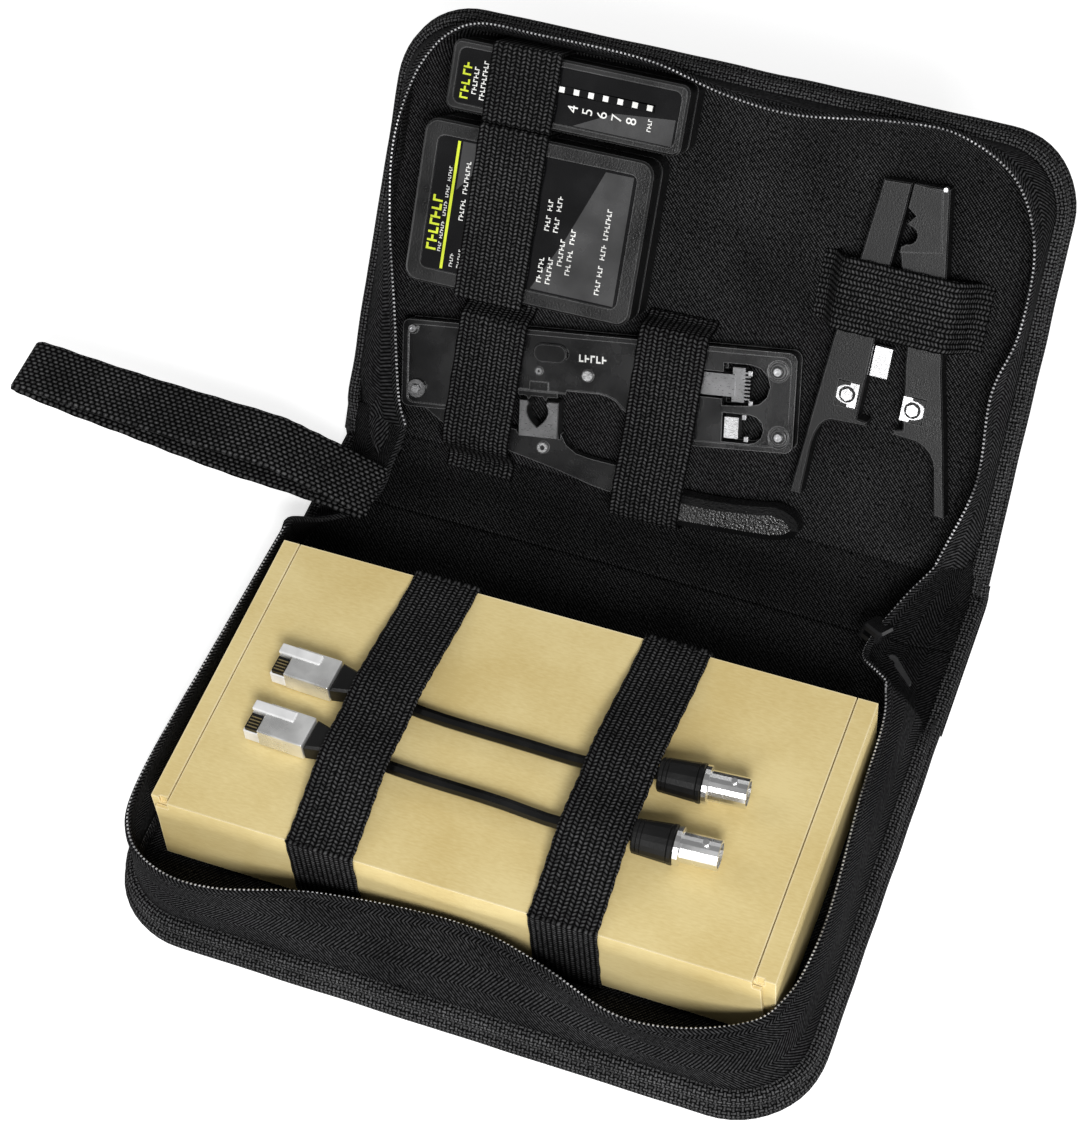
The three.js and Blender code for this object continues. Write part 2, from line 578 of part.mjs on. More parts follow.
// Round heads and rivets on the front plate: place, radius, whether a spacer stands behind it, and
// the radius of the groove round it.
const CRIMPER_HEADS = [
  { x: 3.6, y: -3.2, radius: 2, spacer: 2.2 }, { x: 50.8, y: -14.2, radius: 1.5 },
  { x: 68.6, y: -14.3, radius: 2.2, spacer: 2.6 }, { x: 136.2, y: -6.4, radius: 2.4, spacer: 3, groove: 3.8 },
  { x: 137.6, y: -29.2, radius: 2.4, spacer: 3, groove: 3.8 },
];
const PLATE = 2.5;
const CRIMPER_TOP = LEVER.top + GAP + PLATE;
const PIVOT_RADIUS = 2.5;
const BORDER = 0.8;            // height of the raised border round the front plate
const JAW_TOP = 8.8;

// The fixed upper die: a bar with two teeth that point down at the jaw.
const upperDie = () => polygon([
  [47.6, -18], [54.4, -18], [54.4, -21], [58, -21], [58, -23.2], [54.6, -23.2], [53.6, -24.6],
  [52.6, -23.2], [48.4, -23.2], [47.4, -24.6], [46.4, -23.2], [43.6, -23.2], [43.6, -21], [47.6, -21],
]);

// The jaw on the lever, with a round notch that narrows downwards.
const jawShape = () => {
  const shape = polygon([[43.6, -25], [46.6, -25], [47.4, -26.2]]);
  shape.quadraticCurveTo(44.6, -30, 50.4, -34.6);
  shape.quadraticCurveTo(56.2, -30, 53.4, -26.2);
  shape.lineTo(54.2, -25);
  shape.lineTo(58.2, -25);
  shape.lineTo(58.2, -38.3);
  shape.lineTo(43.6, -38.3);
  return shape;
};

const addCrimperPlates = (tool, pinHole, windows) => {
  const { top } = LEVER;
  const lockSlot = slab(roundedRect(50.4, 61.4, -9.6, -5.4, 2), top, 20);
  const face = slab(plateShape(), CRIMPER_TOP, CRIMPER_TOP + 2)
    .scale(0.972, 0.9, 1).translate(2, -1.7, 0);
  const grooves = CRIMPER_HEADS.filter(({ groove }) => groove).map(({ x, y, groove }) =>
    cut(disc(x, y, CRIMPER_TOP - 0.7, CRIMPER_TOP + 2, groove, 24),
      disc(x, y, CRIMPER_TOP - 1, CRIMPER_TOP + 3, groove - 0.6, 24)));
  const plate = cut(slab(plateShape(), top + GAP, CRIMPER_TOP + BORDER), face, ...grooves);
  const heads = CRIMPER_HEADS.map(({ x, y, radius }) =>
    disc(x, y, top + 1, CRIMPER_TOP + 0.7, radius, 16));
  const sockets = CRIMPER_HEADS.map(({ x, y, radius }) =>
    disc(x, y, CRIMPER_TOP + 0.3, CRIMPER_TOP + 2, radius * 0.5, 6));
  const spacers = CRIMPER_HEADS.filter(({ spacer }) => spacer).map(({ x, y, spacer }) =>
    disc(x, y, PLATE + GAP, top + 1, spacer, 12));
  const die = slab(upperDie(), top + GAP, CRIMPER_TOP + 0.6);
  addPiece(tool, 'crimper_back_plate',
    cut(slab(plateShape(), 0, PLATE), pinHole, ...windows), PAINTED);
  addPiece(tool, 'crimper_front_plate',
    cut(join(plate, die, ...spacers, ...heads), pinHole, lockSlot, ...windows, ...sockets), PAINTED);
};

// The ram has a comb of fins at its head, one for each contact of a plug.
const FINS = 8;
const crimperRam = (bottom, top) => {
  const fins = [];
  for (let i = 0; i < FINS; i++) {
    fins.push(block(124, 126.4, -17.6 + i * 1.3, -17 + i * 1.3, bottom + 1, top + 1.8));
  }
  return join(block(106.2, 121, -16.8, -9, bottom + 0.6, top + 2.2),
    block(120, 124.4, -18.6, -6.6, bottom + 0.6, top + 1.4), ...fins);
};

const addCrimper = (lid) => {
  const tool = new THREE.Group();
  tool.position.set(-100.5, 49.2, TOOL_REST);
  tool.rotation.z = CRIMPER_TILT;
  lid.add(tool);
  const { pivot: [px, py], bottom, top } = LEVER;
  const pinHole = disc(px, py, -1, 20, PIVOT_RADIUS + GAP);
  addCrimperPlates(tool, pinHole, [slab(largeWindow(), -1, 20), slab(smallWindow(), -1, 20)]);
  const ring = disc(52.4, -41.9, top - 1, top + 1.2, 2.2, 16);
  addPiece(tool, 'crimper_lever',
    join(cut(slab(leverShape(), bottom, top), pinHole), ring), PAINTED);
  const hollow = join(slab(leverShape(), bottom - GAP, top + GAP),
    slab(gripCore(), bottom - GAP, top + GAP));
  const grip = slab(gripShape(), -0.3, 12.6, 2.4, 6);
  addPiece(tool, 'crimper_grip', cut(grip, hollow), BLACK_PLASTIC);
  addPiece(tool, 'crimper_pivot_screw',
    join(disc(px, py, -0.5, CRIMPER_TOP + 0.6, PIVOT_RADIUS, 16),
      disc(px, py, CRIMPER_TOP + GAP, CRIMPER_TOP + 1.3, 3.3, 16)), STEEL);
  addPiece(tool, 'crimper_ram', crimperRam(bottom, top), STEEL);
  addPiece(tool, 'crimper_jaw', slab(jawShape(), bottom, JAW_TOP, 0.3, 5), STEEL);
  addPiece(tool, 'crimper_small_die',
    block(118, 123, -31.4, -24, bottom + 0.6, top + 1.8), STEEL);
  const button = join(slab(roundedRect(50.8, 57.4, -9.2, -5.8, 1.6), top + 2 * GAP, CRIMPER_TOP + 1),
    slab(roundedRect(48.8, 61, -10.9, -4.1, 3.3), CRIMPER_TOP + GAP, CRIMPER_TOP + 1.5, 0.4, 5));
  addPiece(tool, 'crimper_lock_button', button, PAINTED);
};

// Clearance inside the grip around the lever, a little wider than the lever itself.
const gripCore = () => {
  const shape = new THREE.Shape();
  shape.moveTo(66, -43.8);
  shape.quadraticCurveTo(86, -45.2, 101, -52.6);
  shape.lineTo(136.4, -56.6);
  shape.lineTo(136.4, -61.4);
  shape.lineTo(101, -60.4);
  shape.quadraticCurveTo(76, -57, 58, -50);
  return shape;
};

// ---- stripper: two arms on one pin in a flat head, drawn from the head ----
const STRIPPER = { x: 68.5, y: 133.5, thickness: 9.5 };
const PIN = { x: 4.2, y: -1.6, radius: 1.4 };

const leftArmShape = () => {
  const shape = polygon([
    [-2, 1.8], [-2.2, -6], [-3.2, -21.6], [-3.6, -30], [-3.4, -50], [-3.4, -64], [-3.6, -80],
    [0, -80.4], [0, -82], [-12, -82.6],
  ]);
  shape.quadraticCurveTo(-16.4, -83.4, -17.2, -92);
  shape.lineTo(-17.4, -110.5);
  shape.lineTo(-21, -110.5);
  shape.lineTo(-19, -80);
  shape.lineTo(-17.2, -55);
  shape.lineTo(-13.6, -24);
  shape.lineTo(-11.6, 1.2);
  return shape;
};

// The cutting edge of the right jaw: a V notch above a half round one.
const startRightJaw = () => {
  const shape = polygon([[-1.2, 2], [-1.5, -6.3], [1.6, -8.4], [-0.6, -11.4], [0.4, -12.1]]);
  shape.absarc(0.4, -15.2, 3.1, Math.PI / 2, -Math.PI / 2, true);
  shape.lineTo(-1.1, -19.4);
  return shape;
};

const rightArmShape = () => {
  const shape = startRightJaw();
  shape.lineTo(-1.1, -21.6);
  shape.lineTo(0.2, -26);
  shape.lineTo(6, -36);
  shape.lineTo(8.6, -58);
  shape.lineTo(12.4, -80);
  shape.lineTo(9.4, -80.8);
  shape.lineTo(9.4, -82.4);
  shape.lineTo(18, -83);
  shape.quadraticCurveTo(23.8, -84.6, 25.4, -91);
  shape.lineTo(29, -106.5);
  shape.lineTo(32.6, -106.5);
  shape.lineTo(25.8, -77);
  shape.lineTo(21, -58);
  shape.lineTo(15.8, -27);
  shape.lineTo(10.8, 2.4);
  return shape;
};

// A raised plate on the right jaw ends in a ledge just above the strap.
const jawPlateShape = () => {
  const shape = startRightJaw();
  shape.lineTo(-1.1, -21.4);
  shape.lineTo(12.6, -18.6);
  shape.lineTo(8.6, 1.4);
  return shape;
};

// The left arm reaches under the right one with a half-thick hub around the pin.
const HUB_RADIUS = 3.7;
const hubShape = (grow) => join(
  disc(PIN.x, PIN.y, -1, 20, HUB_RADIUS + grow), block(-6, PIN.x, -5 - grow, 0.8 + grow, -1, 20));

const leftArm = (pocket) => {
  const middle = STRIPPER.thickness / 2;
  const hub = cut(hubShape(0), block(-30, 30, -30, 30, middle - GAP / 2, 30),
    block(-30, 30, -30, 30, -30, 0));
  const pinHole = disc(PIN.x, PIN.y, -1, 20, PIN.radius + GAP, 16);
  return cut(join(slab(leftArmShape(), 0, STRIPPER.thickness, 0.5, 4), hub), pinHole, pocket);
};

const rightArm = (pocket) => {
  const { thickness } = STRIPPER;
  const middle = thickness / 2;
  const body = join(slab(rightArmShape(), 0, thickness, 0.5, 4),
    slab(jawPlateShape(), thickness - 1, thickness + 0.6, 0.2, 4));
  const clearance = cut(hubShape(GAP + 0.6), block(-30, 30, -30, 30, middle + GAP / 2, 30));
  const pinHole = disc(PIN.x, PIN.y, -1, middle + 3, PIN.radius + GAP, 16);
  return cut(body, clearance, pinHole, pocket);
};

const CASSETTE = { bottom: -76.7, top: -68.3 };
const pocketAround = (x0, x1) => block(x0 - GAP, x1 + GAP, CASSETTE.bottom - GAP, CASSETTE.top + GAP,
  STRIPPER.thickness - 2, STRIPPER.thickness + 1);
const cassette = (x0, x1) => {
  const { thickness } = STRIPPER;
  const middle = (CASSETTE.bottom + CASSETTE.top) / 2;
  return join(block(x0, x1, CASSETTE.bottom, CASSETTE.top, thickness - 1.6, thickness + 0.4),
    disc((x0 + x1) / 2, middle, thickness, thickness + 1.2, 2.2, 6));
};

const addStripper = (lid) => {
  const tool = new THREE.Group();
  tool.position.set(STRIPPER.x, STRIPPER.y, TOOL_REST);
  lid.add(tool);
  const leftSpan = [-12.1, -4.9];
  const rightSpan = [10.5, 18.1];
  addPiece(tool, 'stripper_arm_left', leftArm(pocketAround(...leftSpan)), BLACK_PLASTIC);
  addPiece(tool, 'stripper_arm_right', rightArm(pocketAround(...rightSpan)), BLACK_PLASTIC);
  addPiece(tool, 'stripper_pin',
    disc(PIN.x, PIN.y, -0.4, STRIPPER.thickness / 2 + 2.6, PIN.radius, 16), STEEL);
  addPiece(tool, 'stripper_cassette_left', cassette(...leftSpan), STEEL);
  addPiece(tool, 'stripper_cassette_right', cassette(...rightSpan), STEEL);
  addPiece(tool, 'stripper_stop', block(-3, 3, -65, -54.6, 3, 6.4), STEEL);
};

// ---- elastic straps in the lid ----
const addLidElastics = (lid) => {
  const low = PANEL + 1;
  const off = ELASTIC / 2 + GAP;
  const over = (height) => TOOL_REST + height + off;
  const tall = TOOL_REST + TESTER.thickness;
  const remote = TOOL_REST + REMOTE.thickness;
  const half = LID_ELASTIC_WIDTH / 2;
  // The left strap is sewn down between the tools: crimper, tester and remote unit.
  const left = [
    [-1, low + 0.4], [4, low], [7.5, over(4)], [12, over(10.6)], [30, over(10.6)], [50, over(10.6)],
    [56.4, over(10.4)], [58.8, over(7)], [60.4, 11], [62.4, 9.6], [64.4, 11], [65.4, 18],
    ...aroundCorner(66.7, tall, off + 0.2, 135, 1), [80, tall + off], [110, tall + off],
    ...aroundCorner(123.7, tall, off + 0.2, 45, 1), [124.8, 18], [125.1, 14], [125.9, 14], [126.2, 18],
    ...aroundCorner(127.5, remote, off + 0.4, 135, 1), [140, remote + off],
    ...aroundCorner(151.5, remote, off + 0.2, 45, 1), [152.8, 18], [153.4, 9], [155.2, low],
  ];
  addPiece(lid, 'lid_elastic_left', ribbon(left, ELASTIC, -half, half), WEB, [-66, 0, 0], [0, 0, 0.014]);
  const middle = [
    [-0.2, low + 0.4], [-0.6, 12], [0.2, 17.4], [2.6, over(12.8)], [8, over(13)],
    [14, over(12.8)], [28, over(10.6)], [45, over(10.6)], [60, over(10.6)], [66.6, over(10.4)],
    [68.6, over(7)], [69.8, 9], [72, low],
  ];
  addPiece(lid, 'lid_elastic_middle', ribbon(middle, ELASTIC, -half, half), WEB, [-0.5, 0, 0], [0, 0, 0.03]);
  const { thickness } = STRIPPER;
  const top = over(thickness);
  const across = [
    [41, low], [45, low + 0.4], [48, top - 4], [51, top], [60, top], [70, top + 0.6], [80, top + 0.4],
    [88, top], [91.5, top - 4], [95, low + 0.6], [100, low],
  ];
  const flat = ribbon(across.map(([a, b]) => [-a, b]), ELASTIC, -half, half).rotateZ(Math.PI / 2);
  addPiece(lid, 'lid_elastic_right', flat, WEB, [0, 94.5, 0]);
};

// ---- the whole object ----
const group = new THREE.Group();
const lid = new THREE.Group();
lid.position.set(0, HINGE_Y, PANEL);
lid.rotation.x = LID_LEAN;
group.add(lid);

addBaseShell(group);
addSpine(group);
addLidShell(lid);
addGussets(group);
addZipSlider(group);
addHandStrap(group);
addBox(group);
addBoxElastic(group, 'box_elastic_left', -47.5, 8.6);
addBoxElastic(group, 'box_elastic_right', 34.2, 9.6);
for (const lead of LEADS) {
  addPlug(group, lead);
  addCable(group, lead);
  addJack(group, lead);
}
addTester(lid);
addRemote(lid);
addCrimper(lid);
addStripper(lid);
addLidElastics(lid);

export default group;
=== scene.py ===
"""Looks for the open network tool case: fabric, tapes, straps, labels, light and camera.

Sizes are in millimetres in this file and become metres where a mesh is made. Lid places are written
in the lid's own coordinates: x along the hinge, v up the lid, w out of the lid.
"""

import json
import math

import bpy
from mathutils import Matrix, Vector, noise
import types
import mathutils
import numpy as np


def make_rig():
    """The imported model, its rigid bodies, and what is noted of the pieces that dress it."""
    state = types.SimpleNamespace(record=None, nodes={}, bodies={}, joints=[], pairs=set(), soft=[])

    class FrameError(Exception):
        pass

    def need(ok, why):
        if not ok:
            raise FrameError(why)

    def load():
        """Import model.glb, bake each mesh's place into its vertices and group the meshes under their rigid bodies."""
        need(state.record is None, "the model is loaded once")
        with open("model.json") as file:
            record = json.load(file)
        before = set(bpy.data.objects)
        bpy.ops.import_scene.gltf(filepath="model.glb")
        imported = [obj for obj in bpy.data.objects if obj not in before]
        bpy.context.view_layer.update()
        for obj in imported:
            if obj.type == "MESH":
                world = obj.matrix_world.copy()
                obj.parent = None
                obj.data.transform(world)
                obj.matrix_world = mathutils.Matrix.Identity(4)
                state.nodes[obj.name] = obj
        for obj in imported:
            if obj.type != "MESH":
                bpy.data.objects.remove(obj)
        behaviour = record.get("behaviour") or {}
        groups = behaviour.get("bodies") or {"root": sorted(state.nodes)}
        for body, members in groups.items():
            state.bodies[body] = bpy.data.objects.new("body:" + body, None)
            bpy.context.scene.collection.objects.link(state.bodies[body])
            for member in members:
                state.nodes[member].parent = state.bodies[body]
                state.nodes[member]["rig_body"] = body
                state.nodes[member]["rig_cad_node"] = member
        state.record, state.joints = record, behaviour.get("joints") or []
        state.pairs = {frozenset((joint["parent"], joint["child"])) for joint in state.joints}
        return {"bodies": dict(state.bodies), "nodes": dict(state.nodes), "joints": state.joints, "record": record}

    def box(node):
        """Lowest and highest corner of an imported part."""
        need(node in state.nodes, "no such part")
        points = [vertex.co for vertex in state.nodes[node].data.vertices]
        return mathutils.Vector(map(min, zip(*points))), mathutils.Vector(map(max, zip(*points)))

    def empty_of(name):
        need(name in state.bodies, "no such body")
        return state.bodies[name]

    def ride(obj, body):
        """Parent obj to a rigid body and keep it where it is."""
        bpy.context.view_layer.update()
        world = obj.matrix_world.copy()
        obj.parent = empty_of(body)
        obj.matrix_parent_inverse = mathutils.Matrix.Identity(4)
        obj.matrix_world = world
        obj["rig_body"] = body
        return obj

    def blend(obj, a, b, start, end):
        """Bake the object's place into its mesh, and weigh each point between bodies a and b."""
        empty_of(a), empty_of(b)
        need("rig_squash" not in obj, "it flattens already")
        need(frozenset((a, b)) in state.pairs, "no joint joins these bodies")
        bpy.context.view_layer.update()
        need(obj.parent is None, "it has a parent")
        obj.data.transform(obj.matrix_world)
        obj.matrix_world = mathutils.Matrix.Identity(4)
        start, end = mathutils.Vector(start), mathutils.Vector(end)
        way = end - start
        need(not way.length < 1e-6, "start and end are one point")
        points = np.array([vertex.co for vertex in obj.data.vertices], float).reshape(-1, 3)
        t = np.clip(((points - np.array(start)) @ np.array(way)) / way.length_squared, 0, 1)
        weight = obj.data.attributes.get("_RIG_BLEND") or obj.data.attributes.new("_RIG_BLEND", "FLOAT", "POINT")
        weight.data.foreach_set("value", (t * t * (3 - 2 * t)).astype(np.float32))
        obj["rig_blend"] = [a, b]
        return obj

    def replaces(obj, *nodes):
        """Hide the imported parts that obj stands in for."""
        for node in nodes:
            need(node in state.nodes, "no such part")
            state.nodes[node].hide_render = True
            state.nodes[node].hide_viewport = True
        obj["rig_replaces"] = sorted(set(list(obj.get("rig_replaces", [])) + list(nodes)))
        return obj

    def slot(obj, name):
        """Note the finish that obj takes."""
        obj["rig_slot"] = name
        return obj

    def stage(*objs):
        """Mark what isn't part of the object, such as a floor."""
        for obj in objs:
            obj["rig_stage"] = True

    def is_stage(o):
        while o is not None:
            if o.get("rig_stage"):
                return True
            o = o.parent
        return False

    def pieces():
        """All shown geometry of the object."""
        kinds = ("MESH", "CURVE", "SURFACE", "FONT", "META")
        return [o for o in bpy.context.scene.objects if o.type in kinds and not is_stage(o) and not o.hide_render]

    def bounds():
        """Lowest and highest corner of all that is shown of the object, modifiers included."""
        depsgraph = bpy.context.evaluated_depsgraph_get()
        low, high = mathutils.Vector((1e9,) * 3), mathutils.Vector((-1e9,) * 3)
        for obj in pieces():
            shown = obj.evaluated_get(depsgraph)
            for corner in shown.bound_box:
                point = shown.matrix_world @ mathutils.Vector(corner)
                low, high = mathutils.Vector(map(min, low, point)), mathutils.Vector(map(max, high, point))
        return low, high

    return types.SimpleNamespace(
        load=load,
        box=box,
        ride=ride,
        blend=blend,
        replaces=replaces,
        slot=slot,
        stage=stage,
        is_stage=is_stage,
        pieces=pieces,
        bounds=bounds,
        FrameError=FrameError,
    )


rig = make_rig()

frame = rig.load()
start_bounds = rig.bounds()
JOINTS = {j["name"]: j for j in frame["joints"]}

# ---- sizes ----
HALF = 120.0
BASE_BACK = 80.0
HINGE = Vector(JOINTS["lid_fold"]["pos_m"]) * 1000
LID_OUT = Vector(JOINTS["crimper_lever_swing"]["axis"]).normalized()
LID_UP = LID_OUT.cross(Vector((1, 0, 0))).normalized()
LID_LENGTH = 159.5
BASE_CORNER, LID_CORNER = 30.0, 27.0
PANEL = 5.0
COIL = 1.1  # radius
ELASTIC_THICK, BOX_ELASTIC_HALF, LID_ELASTIC_HALF = 1.2, 11.4, 12.5
WEBBING_THICK, WEBBING_HALF = 1.5, 11.0
TOOL_REST = 5.8  # backs of the tools above the lid's outer face
TESTER_THICK, REMOTE_THICK, STRIPPER_THICK = 21.7, 20.7, 9.5
CRIMPER_TOP = 9.9
SPINE_MIDDLE = 106.0  # where the spine's fabric changes from bending at the base to bending at the lid


# ---- places ----
def base(x, y, z):
    return Vector((x, y, z)) / 1000


def lid(x, v, w):
    return (HINGE + Vector((x, 0, 0)) + LID_UP * v + LID_OUT * w) / 1000


def turned(origin, angle, height=TOOL_REST):
    """Places in a tool's own coordinates, which are turned in the lid's plane."""
    c, s = math.cos(angle), math.sin(angle)
    return lambda x, y, z: lid(
        origin[0] + x * c - y * s, origin[1] + x * s + y * c, height + z
    )


on_tester = turned((-99, 66.1), 0.0175)
on_remote = turned((-94.6, 127), 0.012)
on_crimper = turned((-100.5, 49.2), math.radians(8.4))
on_stripper = turned((68.5, 133.5), 0.0)


# ---- procedural materials ----
class Nodes:
    """A material being wired up: a Principled shader and short ways to add to it."""

    def __init__(self, name, color, rough, metal=0.0, specular=0.5):
        self.material = bpy.data.materials.new(name)
        self.material.use_nodes = True
        self.tree = self.material.node_tree
        self.shader = self.tree.nodes["Principled BSDF"]
        self.shader.inputs["Base Color"].default_value = (*color, 1)
        self.shader.inputs["Roughness"].default_value = rough
        self.shader.inputs["Metallic"].default_value = metal
        self.shader.inputs["Specular IOR Level"].default_value = specular

    def add(self, kind, **values):
        node = self.tree.nodes.new(kind)
        for key, value in values.items():
            if key in node.inputs.keys():
                node.inputs[key].default_value = value
            else:
                setattr(node, key, value)
        return node

    def link(self, a, b):
        self.tree.links.new(a, b)

    def math(self, operation, a, b=None):
        node = self.add("ShaderNodeMath", operation=operation)
        for socket, value in zip(node.inputs, (a, b)):
            if value is None:
                continue
            if isinstance(value, (int, float)):
                socket.default_value = value
            else:
                self.link(value, socket)
        return node.outputs[0]

    def coordinates(self, uv=True):
        node = self.add("ShaderNodeTexCoord")
        return node.outputs["UV" if uv else "Object"]

    def split(self, vector):
        node = self.add("ShaderNodeSeparateXYZ")
        self.link(vector, node.inputs[0])
        return node.outputs

    def noise(self, vector, scale, detail=3.0):
        node = self.add("ShaderNodeTexNoise", Scale=scale, Detail=detail)
        self.link(vector, node.inputs["Vector"])
        return node.outputs["Fac"]

    def reach(self, value, start, end, low=0.0, high=1.0):
        """A value between start and end becomes one between low and high."""
        node = self.add("ShaderNodeMapRange")
        for key, v in zip(("From Min", "From Max", "To Min", "To Max"), (start, end, low, high)):
            node.inputs[key].default_value = v
        self.link(value, node.inputs["Value"])
        return node.outputs["Result"]

    def ramp(self, value, low, high, into, start=0.0, end=1.0):
        """A value between start and end sets the named input to a number or colour from low to high."""
        if isinstance(low, (int, float)):
            self.link(self.reach(value, start, end, low, high), self.shader.inputs[into])
            return
        mix = self.add("ShaderNodeMix", data_type="RGBA")
        self.link(self.reach(value, start, end), mix.inputs["Factor"])
        mix.inputs["A"].default_value = (*low, 1)
        mix.inputs["B"].default_value = (*high, 1)
        self.link(mix.outputs["Result"], self.shader.inputs[into])

    def bump(self, height, distance, strength=1.0):
        node = self.add("ShaderNodeBump", Strength=strength, Distance=distance / 1000)
        previous = self.shader.inputs["Normal"].links
        if previous:
            self.link(previous[0].from_socket, node.inputs["Normal"])
        self.link(height, node.inputs["Height"])
        self.link(node.outputs["Normal"], self.shader.inputs["Normal"])

    def painted_edge_highlight(self, color, uneven, radius=0.45):
        """Painted highlight: paler edges, where a rounded normal departs from the real one."""
        rounded = self.add("ShaderNodeBevel", Radius=radius / 1000)
        rounded.samples = 4
        real = self.add("ShaderNodeNewGeometry")
        match = self.add("ShaderNodeVectorMath", operation="DOT_PRODUCT")
        self.link(rounded.outputs["Normal"], match.inputs[0])
        self.link(real.outputs["Normal"], match.inputs[1])
        highlight_mask = self.reach(match.outputs["Value"], 0.985, 0.88, 0.0, 1.3)
        mix = self.add("ShaderNodeMix", data_type="RGBA")
        self.link(self.times(highlight_mask, uneven), mix.inputs["Factor"])
        plain = self.shader.inputs["Base Color"]
        self.link(plain.links[0].from_socket, mix.inputs["A"])
        mix.inputs["B"].default_value = (*color, 1)
        self.link(mix.outputs["Result"], plain)

    def wave(self, value, period):
        """Rounded ridges 0..1 with the given period in millimetres."""
        return self.math("ABSOLUTE", self.math("SINE", self.times(value, math.pi * 1000 / period)))

    def times(self, a, b):
        return self.math("MULTIPLY", a, b)

    def plus(self, a, b):
        return self.math("ADD", a, b)

    def cell(self, value, width):
        """The number of the cell that a place falls in, with cells of the given width in millimetres."""
        return self.math("FLOOR", self.times(value, 1000 / width))


def cloth(name, dark, light, pattern, depth=0.12, rough=0.88, specular=0.16, sharp=1.8):
    """Fabric whose weave is a pattern(nodes, u, v) over UVs in metres, with worn and fuzzy patches, its raised threads
    painted pale and its hollows near black as painted highlight and shade.
    """
    n = Nodes(name, dark, rough, specular=specular)
    uv = n.coordinates()
    u, v, _ = n.split(uv)
    height = pattern(n, u, v)
    fuzz = n.noise(uv, 900, 2)
    patches = n.noise(uv, 28, 3)
    uneven = n.times(n.plus(fuzz, -0.2), n.plus(patches, 0.25))
    # Raised threads paler and hollows near black: painted highlight and shade on the weave, broken up by fuzz and
    # patches.
    painted_thread_sheen_and_patches = n.times(n.math("POWER", height, sharp), uneven)
    n.ramp(painted_thread_sheen_and_patches, dark, light, "Base Color", 0.02, 0.34)
    n.ramp(fuzz, rough - 0.12, rough + 0.1, "Roughness", 0.3, 0.7)
    n.bump(n.noise(uv, 40, 3), 0.8, 0.5)
    n.bump(height, depth, 1.0)
    return n.material


def basket(period):
    """Threads that cross over and under each other in squares."""
    def pattern(n, u, v):
        over = n.math("PINGPONG", n.plus(n.cell(u, period), n.cell(v, period)), 1.0)
        under = n.math("SUBTRACT", 1.0, over)
        return n.plus(n.times(n.wave(u, period), over), n.times(n.wave(v, period), under))
    return pattern


def twill(period):
    """Slanted ridges, broken up by the threads that cross them."""
    def pattern(n, u, v):
        slant = n.wave(n.plus(u, v), period)
        thread = n.wave(n.math("SUBTRACT", u, v), period * 0.8)
        return n.times(slant, n.plus(0.6, n.times(thread, 0.4)))
    return pattern


def herringbone(period, width):
    """Slanted ridges that turn back at the edge of each stripe of the given width."""
    def pattern(n, u, v):
        return n.wave(n.plus(u, n.math("PINGPONG", v, width / 1000)), period)
    return pattern


def knit(rib, stitch):
    """Ribs along the strap, which lies along v, each made of slanted stitches."""
    def pattern(n, u, v):
        lean = n.times(n.math("PINGPONG", u, rib / 1000), 0.45)
        slanted = n.wave(n.plus(v, lean), stitch)
        ribs = n.math("POWER", n.wave(u, rib), 0.7)
        return n.times(ribs, n.plus(0.15, n.times(slanted, 0.85)))
    return pattern


def nubs(across, along):
    """Round knots in columns along v, every other column half a step ahead."""
    def pattern(n, u, v):
        column = n.math("PINGPONG", n.cell(u, across), 1.0)
        ahead = n.plus(v, n.times(column, along / 2000))
        return n.math("POWER", n.times(n.wave(u, across), n.wave(ahead, along)), 0.8)
    return pattern


def solid(name, color, rough, metal=0.0, grain=0.05, grain_scale=1200, spread=0.1, specular=0.5,
          coat=0.0, vary=0.25, edge=None):
    """Plastic, rubber, paint or metal with fine grain, scuffs and an uneven sheen, and with a painted highlight on its
    edges.
    """
    n = Nodes(name, color, rough, metal, specular)
    place = n.coordinates(uv=False)
    fine = n.noise(place, grain_scale, 2)
    broad = n.noise(place, 70, 4)
    n.ramp(broad, max(rough - spread, 0.02), min(rough + spread, 1.0), "Roughness", 0.35, 0.65)
    n.ramp(broad, [c * (1 - vary) for c in color], [min(1, c * (1 + vary)) for c in color],
           "Base Color", 0.3, 0.7)
    n.bump(fine, grain, 0.6)
    n.shader.inputs["Coat Weight"].default_value = coat
    # edge, when given, is the colour of a painted highlight along the part's edges.
    if edge:
        n.painted_edge_highlight(edge, broad)
    return n.material


def brushed(name, color, rough, axis, grain=0.02):
    """Metal with fine lines across the given axis."""
    n = Nodes(name, color, rough, 1.0)
    place = n.coordinates(uv=False)
    stretch = n.add("ShaderNodeMapping")
    stretch.inputs["Scale"].default_value = axis
    n.link(place, stretch.inputs["Vector"])
    lines = n.noise(stretch.outputs["Vector"], 900, 3)
    n.ramp(lines, max(rough - 0.1, 0.03), rough + 0.15, "Roughness", 0.3, 0.7)
    n.ramp(n.noise(place, 150, 3), [c * 0.75 for c in color], color, "Base Color", 0.3, 0.7)
    n.bump(lines, grain, 0.5)
    return n.material


def card(name):
    """Brown card: pale blotches, short fibres, a soft grain and a painted highlight along its folds and edges."""
    n = Nodes(name, (0.6, 0.48, 0.22), 0.75, specular=0.2)
    place = n.coordinates(uv=False)
    stretch = n.add("ShaderNodeMapping")
    stretch.inputs["Scale"].default_value = (1, 4, 4)
    n.link(place, stretch.inputs["Vector"])
    fibre = n.noise(stretch.outputs["Vector"], 420, 4)
    blotch = n.noise(place, 26, 3)
    both = n.plus(n.times(fibre, 0.35), n.times(blotch, 0.65))
    n.ramp(both, (0.61, 0.47, 0.198), (0.72, 0.59, 0.29), "Base Color", 0.36, 0.62)
    n.ramp(fibre, 0.62, 0.85, "Roughness", 0.3, 0.7)
    n.bump(fibre, 0.05, 0.5)
    # Paler folds and edges: painted highlight.
    n.painted_edge_highlight((0.95, 0.85, 0.6), blotch, 0.9)
    return n.material


